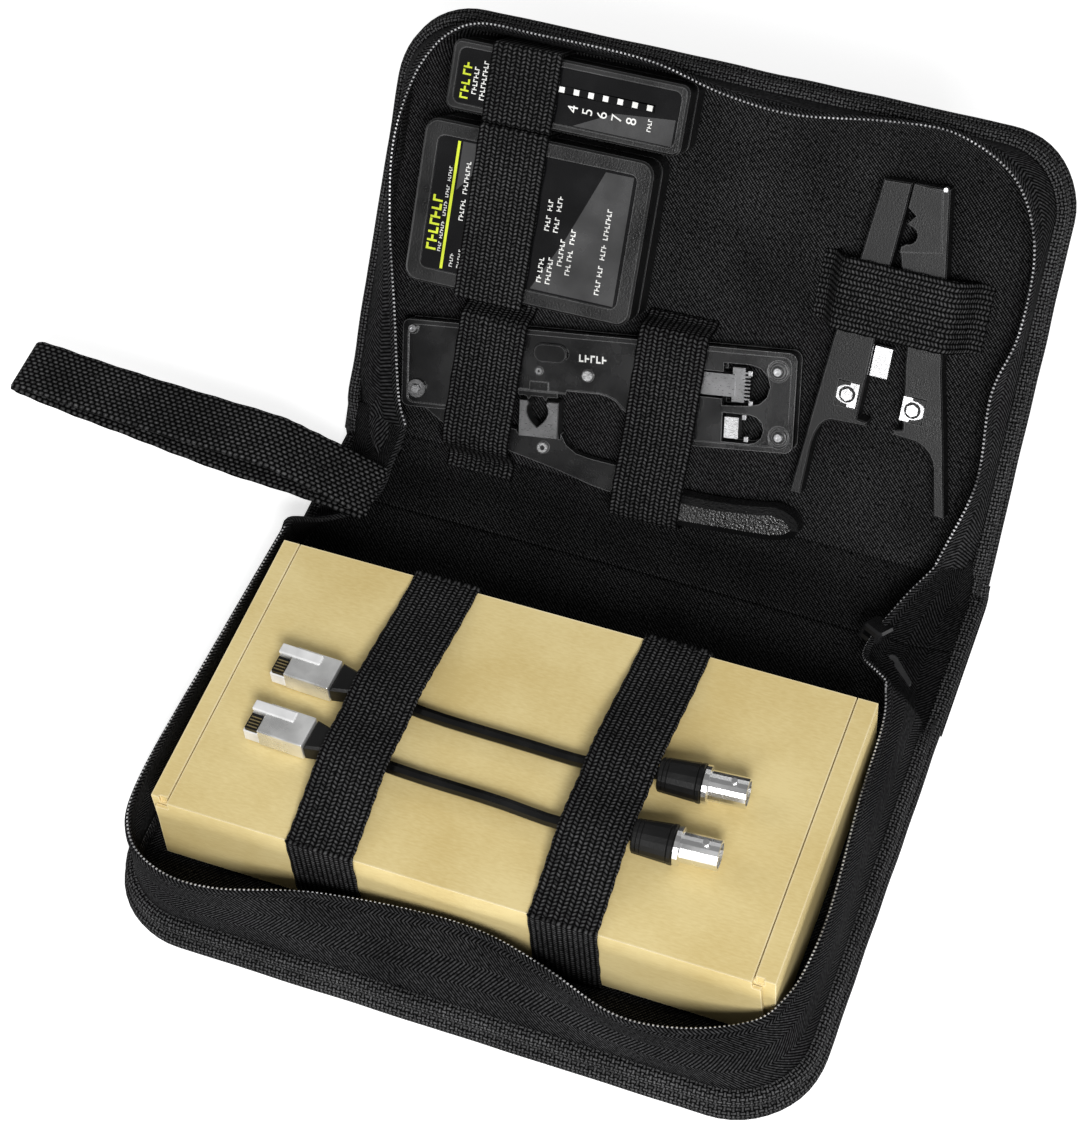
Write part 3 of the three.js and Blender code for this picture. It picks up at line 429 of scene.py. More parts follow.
BLACK = (0.0008, 0.0008, 0.0009)
NYLON = cloth("outer_nylon", BLACK, (0.10, 0.10, 0.102), basket(1.4), 0.5, specular=0.04, sharp=2.6)
LINING = cloth("lining_twill", BLACK, (0.085, 0.085, 0.087), twill(1.3), 0.3, specular=0.03, sharp=2.2)
TAPE = cloth("zip_tape", BLACK, (0.055, 0.055, 0.057), herringbone(1.35, 7.5), 0.3, specular=0.03,
             sharp=2.4)
# A darker copy of the lining for the spine's inside: painted shade.
SHADED_SPINE_LINING = cloth("spine_twill_painted_shade", BLACK, (0.05, 0.05, 0.051), twill(1.3), 0.3, specular=0.02, sharp=2.2)
# A darker copy of the zip tape for the gussets: painted shade.
SHADED_GUSSET_TAPE = cloth("gusset_twill", BLACK, (0.028, 0.028, 0.029), herringbone(1.35, 7.5), 0.3,
                     specular=0.02, sharp=2.4)
ELASTIC = cloth("elastic_knit", BLACK, (0.10, 0.10, 0.102), knit(1.75, 1.3), 0.4, 0.8, 0.05, 1.9)
WEBBING = cloth("webbing", BLACK, (0.12, 0.12, 0.122), nubs(1.6, 2.3), 0.5, 0.8, 0.05, 1.8)
CORD = solid("overlock_thread", (0.022, 0.022, 0.0225), 0.7, grain=0.2, vary=0.7, specular=0.1)
THREAD = solid("thread", (0.02, 0.02, 0.021), 0.7, grain=0.1)
# Pale grey tips on the black coil: painted highlight.
TOOTH_HIGHLIGHT = solid("zip_teeth", (0.42, 0.42, 0.43), 0.3, grain=0.02, specular=0.9, vary=0.8)
KRAFT = card("kraft_card")
CLEAR = solid("clear_plastic", (0.72, 0.72, 0.72), 0.12, grain=0.01, specular=0.8, coat=0.5)
GOLD = brushed("contact_gold", (0.75, 0.6, 0.3), 0.3, (6, 1, 1), 0.01)
# The edge colours of the casing, the tool paint and the stripper's plastic are painted highlights along their edges.
CASING = solid("casing_plastic", (0.006, 0.006, 0.0063), 0.36, grain=0.2, grain_scale=1600, specular=0.5,
               edge=(0.2, 0.2, 0.202))
GLOSS = solid("label_gloss", (0.004, 0.004, 0.0045), 0.14, grain=0.003, spread=0.06, specular=0.5)
# Paler facets on the labels: painted reflection.
LABEL_REFLECTION = solid("label_facet_painted_reflection", (0.05, 0.05, 0.051), 0.25, grain=0.003, spread=0.06)
INK = solid("white_ink", (0.75, 0.75, 0.73), 0.5, grain=0.01)
LIME = solid("lime_ink", (0.62, 0.72, 0.03), 0.45, grain=0.01)
PAINT = solid("tool_paint", (0.010, 0.010, 0.0105), 0.24, metal=0.2, grain=0.1, grain_scale=2200, coat=0.1,
              specular=0.55, edge=(0.3, 0.3, 0.303))
GRIP = solid("grip_plastic", (0.006, 0.006, 0.0063), 0.26, grain=0.5, grain_scale=1300, specular=0.6)
TOOL_PLASTIC = solid("stripper_plastic", (0.005, 0.005, 0.0053), 0.38, grain=0.12, grain_scale=2000,
                     specular=0.35, edge=(0.16, 0.16, 0.162))
STEEL = brushed("tool_steel", (0.5, 0.5, 0.51), 0.32, (1, 6, 6), 0.05)
DARK_STEEL = brushed("dark_steel", (0.26, 0.26, 0.265), 0.34, (1, 5, 5), 0.12)
PLATED = brushed("plated_steel", (0.82, 0.82, 0.83), 0.28, (1, 6, 6))
NICKEL = solid("nickel", (0.86, 0.86, 0.86), 0.24, metal=1.0, grain=0.003, spread=0.05, vary=0.06)
RUBBER = solid("boot_rubber", (0.0035, 0.0035, 0.0036), 0.42, grain=0.1, grain_scale=1800, specular=0.3)
CABLE = solid("cable_jacket", (0.0025, 0.0025, 0.0026), 0.24, grain=0.01, specular=0.45)
SHIELD = solid("plug_shield", (0.80, 0.80, 0.79), 0.3, metal=0.75, grain=0.02, spread=0.12)
GREEN = solid("circuit_green", (0.02, 0.12, 0.05), 0.4, grain=0.1)
BATTERY = brushed("battery_can", (0.3, 0.3, 0.32), 0.35, (1, 6, 1))
LIGHT = solid("light_plastic", (0.85, 0.85, 0.8), 0.35, grain=0.02)
SLIDER = solid("slider_enamel", (0.02, 0.02, 0.021), 0.3, metal=0.6, grain=0.04, specular=0.7)


# ---- meshes ----
def place_in_scene(name, data):
    obj = bpy.data.objects.new(name, data)
    bpy.context.scene.collection.objects.link(obj)
    return obj


def make(name, points, faces, uvs, material, smooth=True):
    mesh = bpy.data.meshes.new(name)
    mesh.from_pydata([tuple(p) for p in points], [], faces)
    layer = mesh.uv_layers.new(name="UVMap")
    for loop in mesh.loops:
        layer.data[loop.index].uv = uvs[loop.vertex_index]
    mesh.polygons.foreach_set("use_smooth", [smooth] * len(mesh.polygons))
    mesh.materials.append(material)
    mesh.update()
    return place_in_scene(name, mesh)


def distances(line):
    """How far along a line each of its points lies."""
    out = [0.0]
    for a, b in zip(line, line[1:]):
        out.append(out[-1] + (b - a).length)
    return out


def heading(line, i):
    """The way a line goes at one of its points."""
    return (line[min(i + 1, len(line) - 1)] - line[max(i - 1, 0)]).normalized()


def grid(name, rows, material, thickness=0.0, from_above=False):
    """A sheet through rows of points, with UVs in metres: u along the rows and v from row to row.

    On a rounded pad the weave is laid on from above instead.
    """
    count = len(rows[0])
    points = [p for row in rows for p in row]
    if from_above:
        uvs = [(p.x, p.y * 1.3) for p in points]
    else:
        along, across = distances(rows[len(rows) // 2]), distances([row[count // 2] for row in rows])
        uvs = [(u, v) for v in across for u in along]
    faces = [(k, k + 1, k + count + 1, k + count)
             for j in range(len(rows) - 1) for k in range(j * count, j * count + count - 1)]
    obj = make(name, points, faces, uvs, material)
    if thickness:
        solidify = obj.modifiers.new("thickness", "SOLIDIFY")
        solidify.thickness = thickness / 1000
        solidify.offset = 0
    return obj


def spline(points, steps):
    """Points on a smooth curve through the given ones, with the same number of steps in each span."""
    vectors = [Vector(p) for p in points]
    ends = [vectors[0] * 2 - vectors[1]] + vectors + [vectors[-1] * 2 - vectors[-2]]
    out = []
    for a, b, c, d in zip(ends, ends[1:], ends[2:], ends[3:]):
        for k in range(steps):
            t = k / steps
            out.append(0.5 * (2 * b + (c - a) * t + (2 * a - 5 * b + 4 * c - d) * t * t
                              + (3 * b - 3 * c + d - a) * t ** 3))
    return out + [vectors[-1]]


def even(points, count):
    """The same line with its points at even distances."""
    lengths = distances(points)
    out, i = [], 0
    for k in range(count):
        target = lengths[-1] * k / (count - 1)
        while i < len(points) - 2 and lengths[i + 1] < target:
            i += 1
        span = lengths[i + 1] - lengths[i] or 1
        out.append(points[i].lerp(points[i + 1], (target - lengths[i]) / span))
    return out


def wobble(x, y, size, amount, seed=0.0):
    return amount * noise.noise(Vector((x / size, y / size, seed)))


def dress(obj, body, slot, *cad):
    """Put a piece on a body, in a slot, in place of the CAD nodes named."""
    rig.ride(obj, body)
    if cad:
        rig.replaces(obj, *cad)
    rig.slot(obj, slot)
    return obj


def bend(obj, bodies, start, end, slot, *cad):
    """As dress(), for a piece that bends over the joint between two bodies."""
    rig.blend(obj, *bodies, start, end)
    if cad:
        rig.replaces(obj, *cad)
    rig.slot(obj, slot)
    return obj


# ---- the outline of a panel ----
def outline(near, far, corner, step=4.0):
    """Stations (x, y, inward x, inward y) from the right end, round the far edge, to the left end."""
    side = 1 if far > near else -1
    out = []
    straight = abs(far - near) - corner
    count = int(straight / step)
    for k in range(count):
        out.append((HALF, near + side * straight * k / count, -1, 0))
    for k in range(13):
        a = math.radians(90 * k / 12)
        out.append((HALF - corner + corner * math.cos(a), far - side * corner * (1 - math.sin(a)),
                    -math.cos(a), -side * math.sin(a)))
    width = HALF - corner
    count = int(2 * width / step)
    for k in range(1, count):
        out.append((width - 2 * width * k / count, far, 0, -side))
    for x, y, nx, ny in reversed(out[:len(out) - count + 1]):
        out.append((-x, y, -nx, ny))
    return out


# Side view of the edge from the underside, up over two rolls of fabric, to the seam of the zip tape.
ROLL_TOP = 7.1
LOWER_ROLL = [(9, 0.15), (4.5, 0.1), (2.2, 0.35), (0.8, 1.3), (0.15, 3.2), (0.4, 5.2), (1.4, 6.6),
              (2.9, ROLL_TOP)]
UPPER_ROLL = [(2.5, 7.5), (1.7, 8.7), (1.5, 10.2), (2.1, 12), (3.6, 13.1), (5.1, 13.3), (6.0, 12.7),
              (6.2, 11), (6.0, 7.5), (5.5, 4.4)]
SEAM = (5.6, 12.9)
ROLL_END = 16.0  # the upper roll sinks over this length towards the spine


def side_view(points):
    """A smooth line of (inward, up) through the given ones."""
    return [p.xy for p in spline([(a, b, 0) for a, b in points], 2)]


def drop(y, near):
    """1 away from the fold, falling to 0 where the panel meets the spine."""
    t = min(1.0, abs(y - near) / ROLL_END)
    return t * t * (3 - 2 * t)


def keep_from(y, near):
    """0 at the end of a panel that meets the spine, 1 from 12 mm on."""
    return min(1.0, abs(y - near) / 12)


def edge_wall(name, near, far, corner, put, body, cad, seed):
    """The edge of a panel: the side view above, swept round its outline."""
    stations = outline(near, far, corner)
    rows = []
    for d, up in side_view(LOWER_ROLL) + side_view(UPPER_ROLL):
        row = []
        for x, y, nx, ny in stations:
            keep = drop(y, near)
            height = up if up <= ROLL_TOP else ROLL_TOP - 0.4 + (up - ROLL_TOP + 0.4) * keep
            inward = d if up <= ROLL_TOP else d + (1 - keep) * 1.2
            soft = wobble(x, y, 20, 0.45, seed) * min(1, up / 3) * keep_from(y, near)
            row.append(put(x + nx * (inward + soft), y + ny * (inward + soft), height))
        rows.append(row)
    obj = grid(name, rows, NYLON)
    crease = [put(x + nx * 2.7, y + ny * 2.7, ROLL_TOP + 0.5) for x, y, nx, ny in stations]
    stitches(name + "_overlock", crease, body, pitch=1.9, slot="nylon", size=(1.3, 1.1, 0.7), material=CORD)
    dress(obj, body, "nylon", *cad)


def panel(name, near, far, corner, inset, height, put, material, body, slot, bulge=0.0, cad=(),
          seed=0.0, face_down=False):
    """A flat or slightly puffy panel inside the outline, as rows between its two sides."""
    side = 1 if far > near else -1
    length = abs(far - near) - inset
    r = corner - inset
    rows = []
    steps = 44
    for j in range(steps + 1):
        t = j / steps
        depth = length * t
        past = depth - (length - r)
        half = HALF - inset
        if past > 0:
            half -= r - math.sqrt(max(r * r - past * past, 0.01))
        row = []
        for i in range(57):
            s = -1 + 2 * i / 56
            x, y = half * s, near + side * depth
            rise = wobble(x, y, 38, bulge, seed) + wobble(x, y, 13, bulge * 0.4, seed + 5)
            fade = min(1, (1 - abs(s)) * 8, depth / 8, (length - depth) / 8)
            row.append(put(x, y, height + rise * max(fade, 0)))
        rows.append(row)
    obj = grid(name, rows[::-1] if face_down else rows, material)
    return dress(obj, body, slot, *cad)


# ---- zip tapes: the coil's way round, seen from above, from the left end to the right ----
BASE_ZIP = [(-113.9, 74), (-116.2, 20), (-118, -38), (-112.5, -59), (-97.9, -68.4), (-78, -68.8),
            (-48, -60.3), (-13.3, -55.9), (10.3, -56.3), (31.7, -61.4), (57.4, -69.3), (79, -66.9),
            (98.5, -57.5), (105.4, -46.5), (108.2, -32.7), (108.8, -10.6), (106, 28), (104.8, 58.4),
            (101, 74)]
LID_ZIP = [(-91.5, 12), (-96.6, 24), (-102.6, 51.7), (-109.6, 85), (-112.2, 115), (-106.6, 141),
           (-92, 155.5), (-65.5, 157), (-27.6, 156.6), (0, 151.8), (24.5, 150.4), (56.6, 154.5),
           (79.9, 155), (100.5, 146), (111.5, 126), (113, 97), (108.9, 74), (110.5, 43), (103.4, 12)]
BASE_ZIP_HEIGHT, LID_ZIP_HEIGHT = 28.0, 22.0


def tube(name, line, radius, material, sides=8):
    """A round cord along a line in the frame, in metres."""
    up = Vector((0, 0, 1))
    rows = []
    for k in range(sides + 1):
        a = 2 * math.pi * k / sides
        row = []
        for i, p in enumerate(line):
            way = heading(line, i)
            right = way.cross(up).normalized()
            row.append(p + (right * math.cos(a) + right.cross(way) * math.sin(a)) * radius / 1000)
        rows.append(row)
    return grid(name, rows, material)


LIFT = Vector((0, 0, 0.0007))  # from the middle of the tape to the thread on its face


def zip_tape(name, near, far, corner, rail, height, put, body, cad, seed):
    """Tape from the seam on the edge wall to the coil, with a row of stitches and the coil's teeth, whose pale grey is
    a painted highlight on the black coil.
    """
    seam = [Vector((x + nx * SEAM[0], y + ny * SEAM[0],
                    ROLL_TOP + (SEAM[1] - ROLL_TOP) * drop(y, near)))
            for x, y, nx, ny in reversed(outline(near, far, corner))]
    zip_line = [Vector((x, y, height)) for x, y in rail]
    count = 260
    low = even(seam, count)
    high = even(spline(zip_line, 8), count)
    rows = []
    for j in range(9):
        t = j / 8
        row = []
        for a, b in zip(low, high):
            p = a.lerp(b, t)
            # The tape stands up from the seam before it leans in.
            out = a - b
            out.z = 0
            lift = math.sin(math.pi * t)
            p += Vector((0, 0, 1)) * lift * 1.2 + out * 0.08 * lift
            p.z += wobble(p.x, p.y, 16, 1.0, seed) * lift
            row.append(put(*p))
        rows.append(row)
    dress(grid(name, rows, TAPE, 0.9), body, "zip_tape", cad)
    coil_line = [put(*p) for p in high]
    dress(tube(name + "_coil", coil_line, COIL, TAPE), body, "zip_tape")
    across = [(put(*b) - put(*a)).normalized() for a, b in zip(low, high)]
    tips = teeth(name + "_teeth", coil_line, across, TOOTH_HIGHLIGHT, reach=1.5 if body == "lid" else 1.0)
    dress(tips, body, "zip_tape")
    stitches(name + "_stitches", [put(*a.lerp(b, 0.8)) + LIFT for a, b in zip(low, high)], body)


def boxes(name, places, size, material):
    """Many small boxes in one mesh: each place is (centre, three unit axes)."""
    points, faces = [], []
    for centre, axes in places:
        start = len(points)
        for a in (-1, 1):
            for b in (-1, 1):
                for c in (-1, 1):
                    reach = (axis * sign * h / 2000 for axis, sign, h in zip(axes, (a, b, c), size))
                    points.append(centre + sum(reach, Vector()))
        faces += [tuple(start + i for i in face) for face in
                  ((0, 1, 3, 2), (4, 6, 7, 5), (0, 4, 5, 1), (2, 3, 7, 6), (0, 2, 6, 4), (1, 5, 7, 3))]
    return make(name, points, faces, [(0, 0)] * len(points), material, smooth=False)


def teeth(name, line, across, material, pitch=1.45, reach=0.75):
    """The tips of the coil along its free side."""
    count = int(distances(line)[-1] * 1000 / pitch)
    dense = even(line, count)
    places = []
    for i, p in enumerate(dense[1:-1], 1):
        way = (dense[i + 1] - dense[i - 1]).normalized()
        out = across[min(len(across) - 1, int(i / count * len(across)))]
        out = (out - way * out.dot(way)).normalized()
        places.append((p + out * 0.75 / 1000, (way, out, way.cross(out))))
    return boxes(name, places, (0.55, reach, 0.55), material)


def stitches(name, line, body, pitch=2.6, slot="zip_tape", size=(1.8, 0.35, 0.35), material=THREAD):
    """A row of sewn stitches: short raised dashes of thread."""
    dense = even(line, int(distances(line)[-1] * 1000 / pitch))
    places = []
    for a, b in zip(dense, dense[1:]):
        way = (b - a).normalized()
        side = way.cross(Vector((0, 0, 1))).normalized()
        places.append(((a + b) / 2, (way, side, way.cross(side))))
    return dress(boxes(name, places, size, material), body, slot)


# ---- straps ----
def band(name, view, thickness, half_width, put, material, steps=6, taper=None):
    """A flat strap: its side view is a line of (a, b), and put(across, a, b) places it."""
    line = spline([(a, b, 0) for a, b in view], steps)
    around = [(-1, -0.5), (-1.0, 0.5), (-0.92, 1), (-0.6, 1), (-0.2, 1), (0.2, 1), (0.6, 1), (0.92, 1),
              (1.0, 0.5), (1.0, -0.5), (0.92, -1), (0.6, -1), (0.2, -1), (-0.2, -1), (-0.6, -1), (-0.92, -1)]
    lengths = distances(line)
    points, uvs = [], []
    for i, p in enumerate(line):
        way = heading(line, i)
        width = half_width * (taper(i / (len(line) - 1)) if taper else 1)
        for s, h in around:
            off = h * thickness / 2
            across = s * width + (0.15 * math.sin(i * 1.7) if abs(s) > 0.9 else 0)
            points.append(put(across, p.x - way.y * off, p.y + way.x * off))
            uvs.append((across / 1000, lengths[i] / 1000))
    ring = len(around)
    faces = []
    for i in range(len(line) - 1):
        for k in range(ring):
            m = (k + 1) % ring
            faces.append((i * ring + k, (i + 1) * ring + k, (i + 1) * ring + m, i * ring + m))
    faces.append(tuple(range(ring)))
    faces.append(tuple((len(line) - 1) * ring + k for k in reversed(range(ring))))
    return make(name, points, faces, uvs, material)


def around_corner(a, b, distance, degrees, turn):
    return [(a + distance * math.cos(math.radians(degrees - turn * s)),
             b + distance * math.sin(math.radians(degrees - turn * s))) for s in (-45, 0, 45)]


def box_straps():
    """Two elastics from the front of the card box to its back, raised where the leads run under them."""
    lo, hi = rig.box("box_tray")
    lid_lo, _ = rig.box("box_lid")
    front, back, bottom, top = lid_lo.y * 1000, hi.y * 1000, lo.z * 1000, hi.z * 1000
    off = 0.9
    over = top + off
    for name, x, hump in (("box_elastic_left", -47.5, 8.6), ("box_elastic_right", 34.2, 9.6)):
        crown = over + hump
        side = [(front - off, bottom), (front - off, 22), *around_corner(front, top, off, 135, 1),
                (-43, over + 0.2 * hump), (-33, over + 0.55 * hump), (-24.5, crown - 1.2), (-19, crown),
                (-12, crown), (-4, crown - 0.8), (3.4, crown), (9.5, crown), (16, crown - 1.2),
                (28, over + 0.6 * hump), (42, over + 0.26 * hump), *around_corner(back, top, off, 45, 1),
                (back + off, 22), (back + off, bottom)]

        def put(s, a, b, x=x):
            return base(x + s, a, b)

        strap = band(name + "_band", side, ELASTIC_THICK, BOX_ELASTIC_HALF, put, ELASTIC)
        dress(strap, "case_base", "elastic", name)


def lid_band(name, view, put, taper=None):
    return band(f"lid_elastic_{name}_band", view, ELASTIC_THICK, LID_ELASTIC_HALF, put, ELASTIC, taper=taper)


def lid_straps():
    """Three elastics that hold the tester with the remote unit, the crimper and the stripper."""
    low = PANEL + 1
    off = 0.9
    tall, remote = TOOL_REST + TESTER_THICK, TOOL_REST + REMOTE_THICK

    def over(height):
        return TOOL_REST + height + off

    left = [(-1, low + 0.4), (4, low), (7.5, over(4)), (12, over(10.6)), (30, over(10.6)), (50, over(10.6)),
            (56.4, over(10.4)), (58.8, over(7)), (60.4, 11), (62.4, 9.6), (64.4, 11), (65.4, 18),
            *around_corner(66.7, tall, off + 0.2, 135, 1), (80, tall + off), (110, tall + off),
            *around_corner(123.7, tall, off + 0.2, 45, 1), (124.8, 18), (125.1, 14), (125.9, 14),
            (126.2, 18), *around_corner(127.5, remote, off + 0.4, 135, 1), (140, remote + off),
            *around_corner(151.5, remote, off + 0.2, 45, 1), (152.8, 18), (153.4, 9), (155.2, low)]
    strap = lid_band("left", left, lambda s, a, b: lid(-66 + s - 0.014 * a, a + 0.014 * s, b))
    dress(strap, "lid", "elastic", "lid_elastic_left")

    middle = [(-0.2, low + 0.4), (-0.6, 12), (0.2, 17.4), (2.6, over(12.8)), (8, over(13)), (14, over(12.8)),
              (28, over(10.6)), (45, over(10.6)), (60, over(10.6)), (66.6, over(10.4)), (68.6, over(7)),
              (69.8, 9), (72, low)]
    strap = lid_band("middle", middle, lambda s, a, b: lid(-0.5 + s - 0.03 * a, a + 0.03 * s, b))
    bend(strap, ("lid", "crimper_lever"), lid(-2, 46, 17), lid(-2, 16, 17), "elastic", "lid_elastic_middle")

    top = over(STRIPPER_THICK)
    across = [(41, low), (45, low + 0.4), (48, top - 4), (51, top), (60, top), (70, top + 0.6),
              (80, top + 0.4), (88, top), (91.5, top - 4), (95, low + 0.6), (100, low)]
    strap = lid_band("right", across, lambda s, a, b: lid(a, 94.5 + s, b),
                     lambda t: 1 - 0.10 * (abs(2 * t - 1) ** 6))
    dress(strap, "lid", "elastic", "lid_elastic_right")


def hand_strap():
    """The carrying loop, from its sewn end in the spine out to the left and back."""
    line = [(-96, 15.6), (-107, 17.4), (-123, 19.8), (-144.5, 21.4), (-165, 24.6), (-185, 28.4),
            (-205, 31.8), (-224, 36), (-228.6, 38.2), (-224, 39.4), (-205, 37.2), (-180.4, 35), (-155, 33.6),
            (-133.4, 32.3), (-123, 29.2), (-112, 25.2), (-101, 20.6), (-93.5, 17.6)]
    strap = band("hand_strap_webbing", line, WEBBING_THICK, WEBBING_HALF,
                 lambda s, a, b: base(a, 101 + s, b), WEBBING)
    bend(strap, ("spine", "hand_strap"), base(-96, 101, 18), base(-123, 101, 24), "webbing",
         "hand_strap", "hand_strap_root")


# ---- the fabric case ----
def case_fabric():
    """The base and the lid, each an edge, two panels and a zip tape, and the spine between them."""
    size = (BASE_BACK - 2, -BASE_BACK, BASE_CORNER)
    edge_wall("base_edge", *size, base, "case_base", ("base_shell", "base_board"), 1.0)
    panel("base_underside", *size, 7, 0.2, base, NYLON, "case_base", "nylon", face_down=True)
    panel("base_floor", *size, 3.2, PANEL - 0.2, base, LINING, "case_base", "lining", 0.3,
          ("base_lining",), 2.0)
    zip_tape("base_zip", BASE_BACK - 6, *size[1:], BASE_ZIP, BASE_ZIP_HEIGHT, base, "case_base",
             "base_zip_tape", 3.0)
    size = (2, LID_LENGTH, LID_CORNER)
    edge_wall("lid_edge", *size, lid, "lid", ("lid_shell", "lid_board"), 7.0)
    panel("lid_back", *size, 7, 0.2, lid, NYLON, "lid", "nylon")
    panel("lid_face", *size, 3.2, PANEL - 0.1, lid, LINING, "lid", "lining", 0.7, ("lid_lining",), 4.0)
    zip_tape("lid_zip", 12, *size[1:], LID_ZIP, LID_ZIP_HEIGHT, lid, "lid", "lid_zip_tape", 5.0)
    tape_tongue()
    spine()


def strip(name, profile, material, bodies, ends, cad=(), slot="nylon", half=HALF, wrinkle=0.0):
    """Fabric across the whole width that follows a side view of (y, z) points and bends over a joint."""
    xs = [half * (-1 + 2 * i / 60) for i in range(61)]
    rows = [[base(x, y, z + wobble(x, y, 24, wrinkle, 9.0)) for x in xs] for y, z in profile]
    bend(grid(name, rows, material, 0.5), bodies, *ends, slot, *cad)


def steps_between(a, b, count):
    """Even steps from a up to, but not including, b."""
    return [(a[0] + (b[0] - a[0]) * k / count, a[1] + (b[1] - a[1]) * k / count) for k in range(count)]


def lid_side(v, w):
    """A place on the lid as a side view sees it."""
    p = lid(0, v, w) * 1000
    return (p.y, p.z)


def spine():
    """The strip between base and lid: outside and lining, each in two halves that bend over one joint."""
    fold, middle = BASE_BACK, SPINE_MIDDLE
    first, second = ("case_base", "spine"), ("spine", "lid")
    at_fold = (base(0, fold - 3, 2), base(0, fold + 4, 2))
    at_hinge = (base(0, HINGE.y - 6, 2), base(0, HINGE.y + 1.5, 6))
    outer_front = steps_between((fold - 3, 0.25), (middle, 0.25), 16) + [(middle, 0.25)]
    outer_back = [*steps_between((middle, 0.25), (HINGE.y - 3, 0.25), 12), (HINGE.y - 3, 0.25),
                  (HINGE.y - 0.6, 0.7), (HINGE.y + 0.7, 2), (HINGE.y + 1.0, 3.6), (HINGE.y + 0.9, 5.4),
                  lid_side(2, 0.3), lid_side(4, 0.3)]
    inner_front = steps_between((fold - 3, PANEL - 0.1), (middle, PANEL), 16) + [(middle, PANEL)]
    inner_back = [*steps_between((middle, PANEL), (HINGE.y - 9, PANEL), 12), (HINGE.y - 9, PANEL),
                  (HINGE.y - 5, 5.8), (HINGE.y - 3, 8), lid_side(2.5, PANEL), lid_side(5, PANEL)]
    strip("spine_outside_front", outer_front, NYLON, first, at_fold, ("spine_shell",))
    strip("spine_outside_back", outer_back, NYLON, second, at_hinge, ("spine_board",))
    # The spine's inside takes the darker copy of the lining: painted shade.
    strip("spine_inside_front", inner_front, SHADED_SPINE_LINING, first, at_fold, ("spine_lining",), "lining",
          HALF - 3, 0.3)
    strip("spine_inside_back", inner_back, SHADED_SPINE_LINING, second, at_hinge, (), "lining", HALF - 3, 0.3)
    for side in (-1, 1):
        spine_roll(side, first, second, at_fold, at_hinge)
        gusset(side, first, second)


def spine_roll(side, first, second, at_fold, at_hinge):
    """The rounded roll of fabric along each end of the spine, between the base's edge and the lid's."""
    name = "right" if side > 0 else "left"
    circle = side_view(LOWER_ROLL) + [Vector(p) for p in ((4.4, 7.0), (5.6, 6.7), (6.2, 5.6), (6.4, 4.6))]
    start, hinge_start = 77, 131
    ys = [*range(start, int(SPINE_MIDDLE) + 1, 2), SPINE_MIDDLE]
    rows = [[base(side * (HALF - d), y, up) for y in ys] for d, up in circle]
    roll = grid(f"spine_roll_front_{name}", rows, NYLON)
    bend(roll, first, *at_fold, "nylon")
    ys = range(int(SPINE_MIDDLE), hinge_start, 2)
    rows = []
    for d, up in circle:
        x = side * (HALF - d)
        rows.append([base(x, y, up) for y in ys] + [
            base(x, hinge_start, up), base(x, HINGE.y - up * 0.45, up + 1.5 * (1 - up / 6)),
            lid(x, 3, up), lid(x, 6, up)])
    roll = grid(f"spine_roll_back_{name}", rows, NYLON)
    bend(roll, second, *at_hinge, "nylon")


def gusset(side, first, second):
    """Slack fabric at one end of the spine, from the roll up to the coil, which runs on through it, in a darker copy
    of the tape that is painted shade.
    """
    name = "right" if side > 0 else "left"
    seam = ((70, 9.6), (76, 7.6), (84, 6.9), (96, 6.9), (108, 6.9), (120, 6.9), (127, 8))
    edge = [base(side * (HALF - 5.5), y, z) for y, z in seam]
    edge += [lid(side * (HALF - 5.5), 4, 7.5), lid(side * (HALF - 5.5), 14, 10.5)]
    if side > 0:
        top = [base(102.2, 69, 28), base(101, 74, 28), base(95, 79.5, 25.8), base(90.8, 84, 23.2),
               base(89.6, 90, 20.4), base(90.6, 98, 18.6), base(93, 106, 19), base(98, 116, 23),
               lid(103.4, 12, 22), lid(104.6, 17, 22)]
    else:
        top = [base(-114.1, 69, 28), base(-113.9, 74, 28), base(-108, 83, 19), base(-101, 92, 14),
               base(-96.5, 100, 12.4), base(-94.5, 107, 14), base(-93.5, 114, 19), lid(-91.5, 12, 22),
               lid(-93.6, 17, 22)]
    count = 49
    low, high = even(spline(edge, 10), count), even(spline(top, 10), count)
    rows = []
    for j in range(9):
        t = j / 8
        row = []
        for i, (a, b) in enumerate(zip(low, high)):
            p = a.lerp(b, t) * 1000
            slack = math.sin(math.pi * t) * min(1, i / 9, (count - 1 - i) / 9)
            p.z -= slack * 2.2
            p.z += (wobble(p.x, p.y, 8, 1.6, 3.0) + wobble(p.x, p.y, 4, 0.5, 8.0)) * slack
            row.append(p / 1000)
        rows.append(row)
    half = count // 2
    across = [(b - a).normalized() for a, b in zip(low, high)]
    at_fold = (base(0, BASE_BACK - 5, 5), base(0, BASE_BACK + 16, 5))
    at_hinge = (base(0, SPINE_MIDDLE, 8), base(0, 124, 22))
    spans = (("front", slice(0, half + 1), first, at_fold, (f"gusset_{name}",)),
             ("back", slice(half, count), second, at_hinge, ()))
    for part, span, bodies, ends, cad in spans:
        sheet = grid(f"gusset_{part}_{name}", [r[span] for r in rows], SHADED_GUSSET_TAPE, 0.8)
        coil = tube(f"gusset_coil_{part}_{name}", high[span], COIL, TAPE)
        # The right gusset's coil tips take the painted highlight; the left's stay dark.
        tips = teeth(f"gusset_teeth_{part}_{name}", high[span], across[span], TOOTH_HIGHLIGHT if side > 0 else CORD)
        bend(sheet, bodies, *ends, "nylon", *cad)
        bend(coil, bodies, *ends, "zip_tape")
        bend(tips, bodies, *ends, "zip_tape")


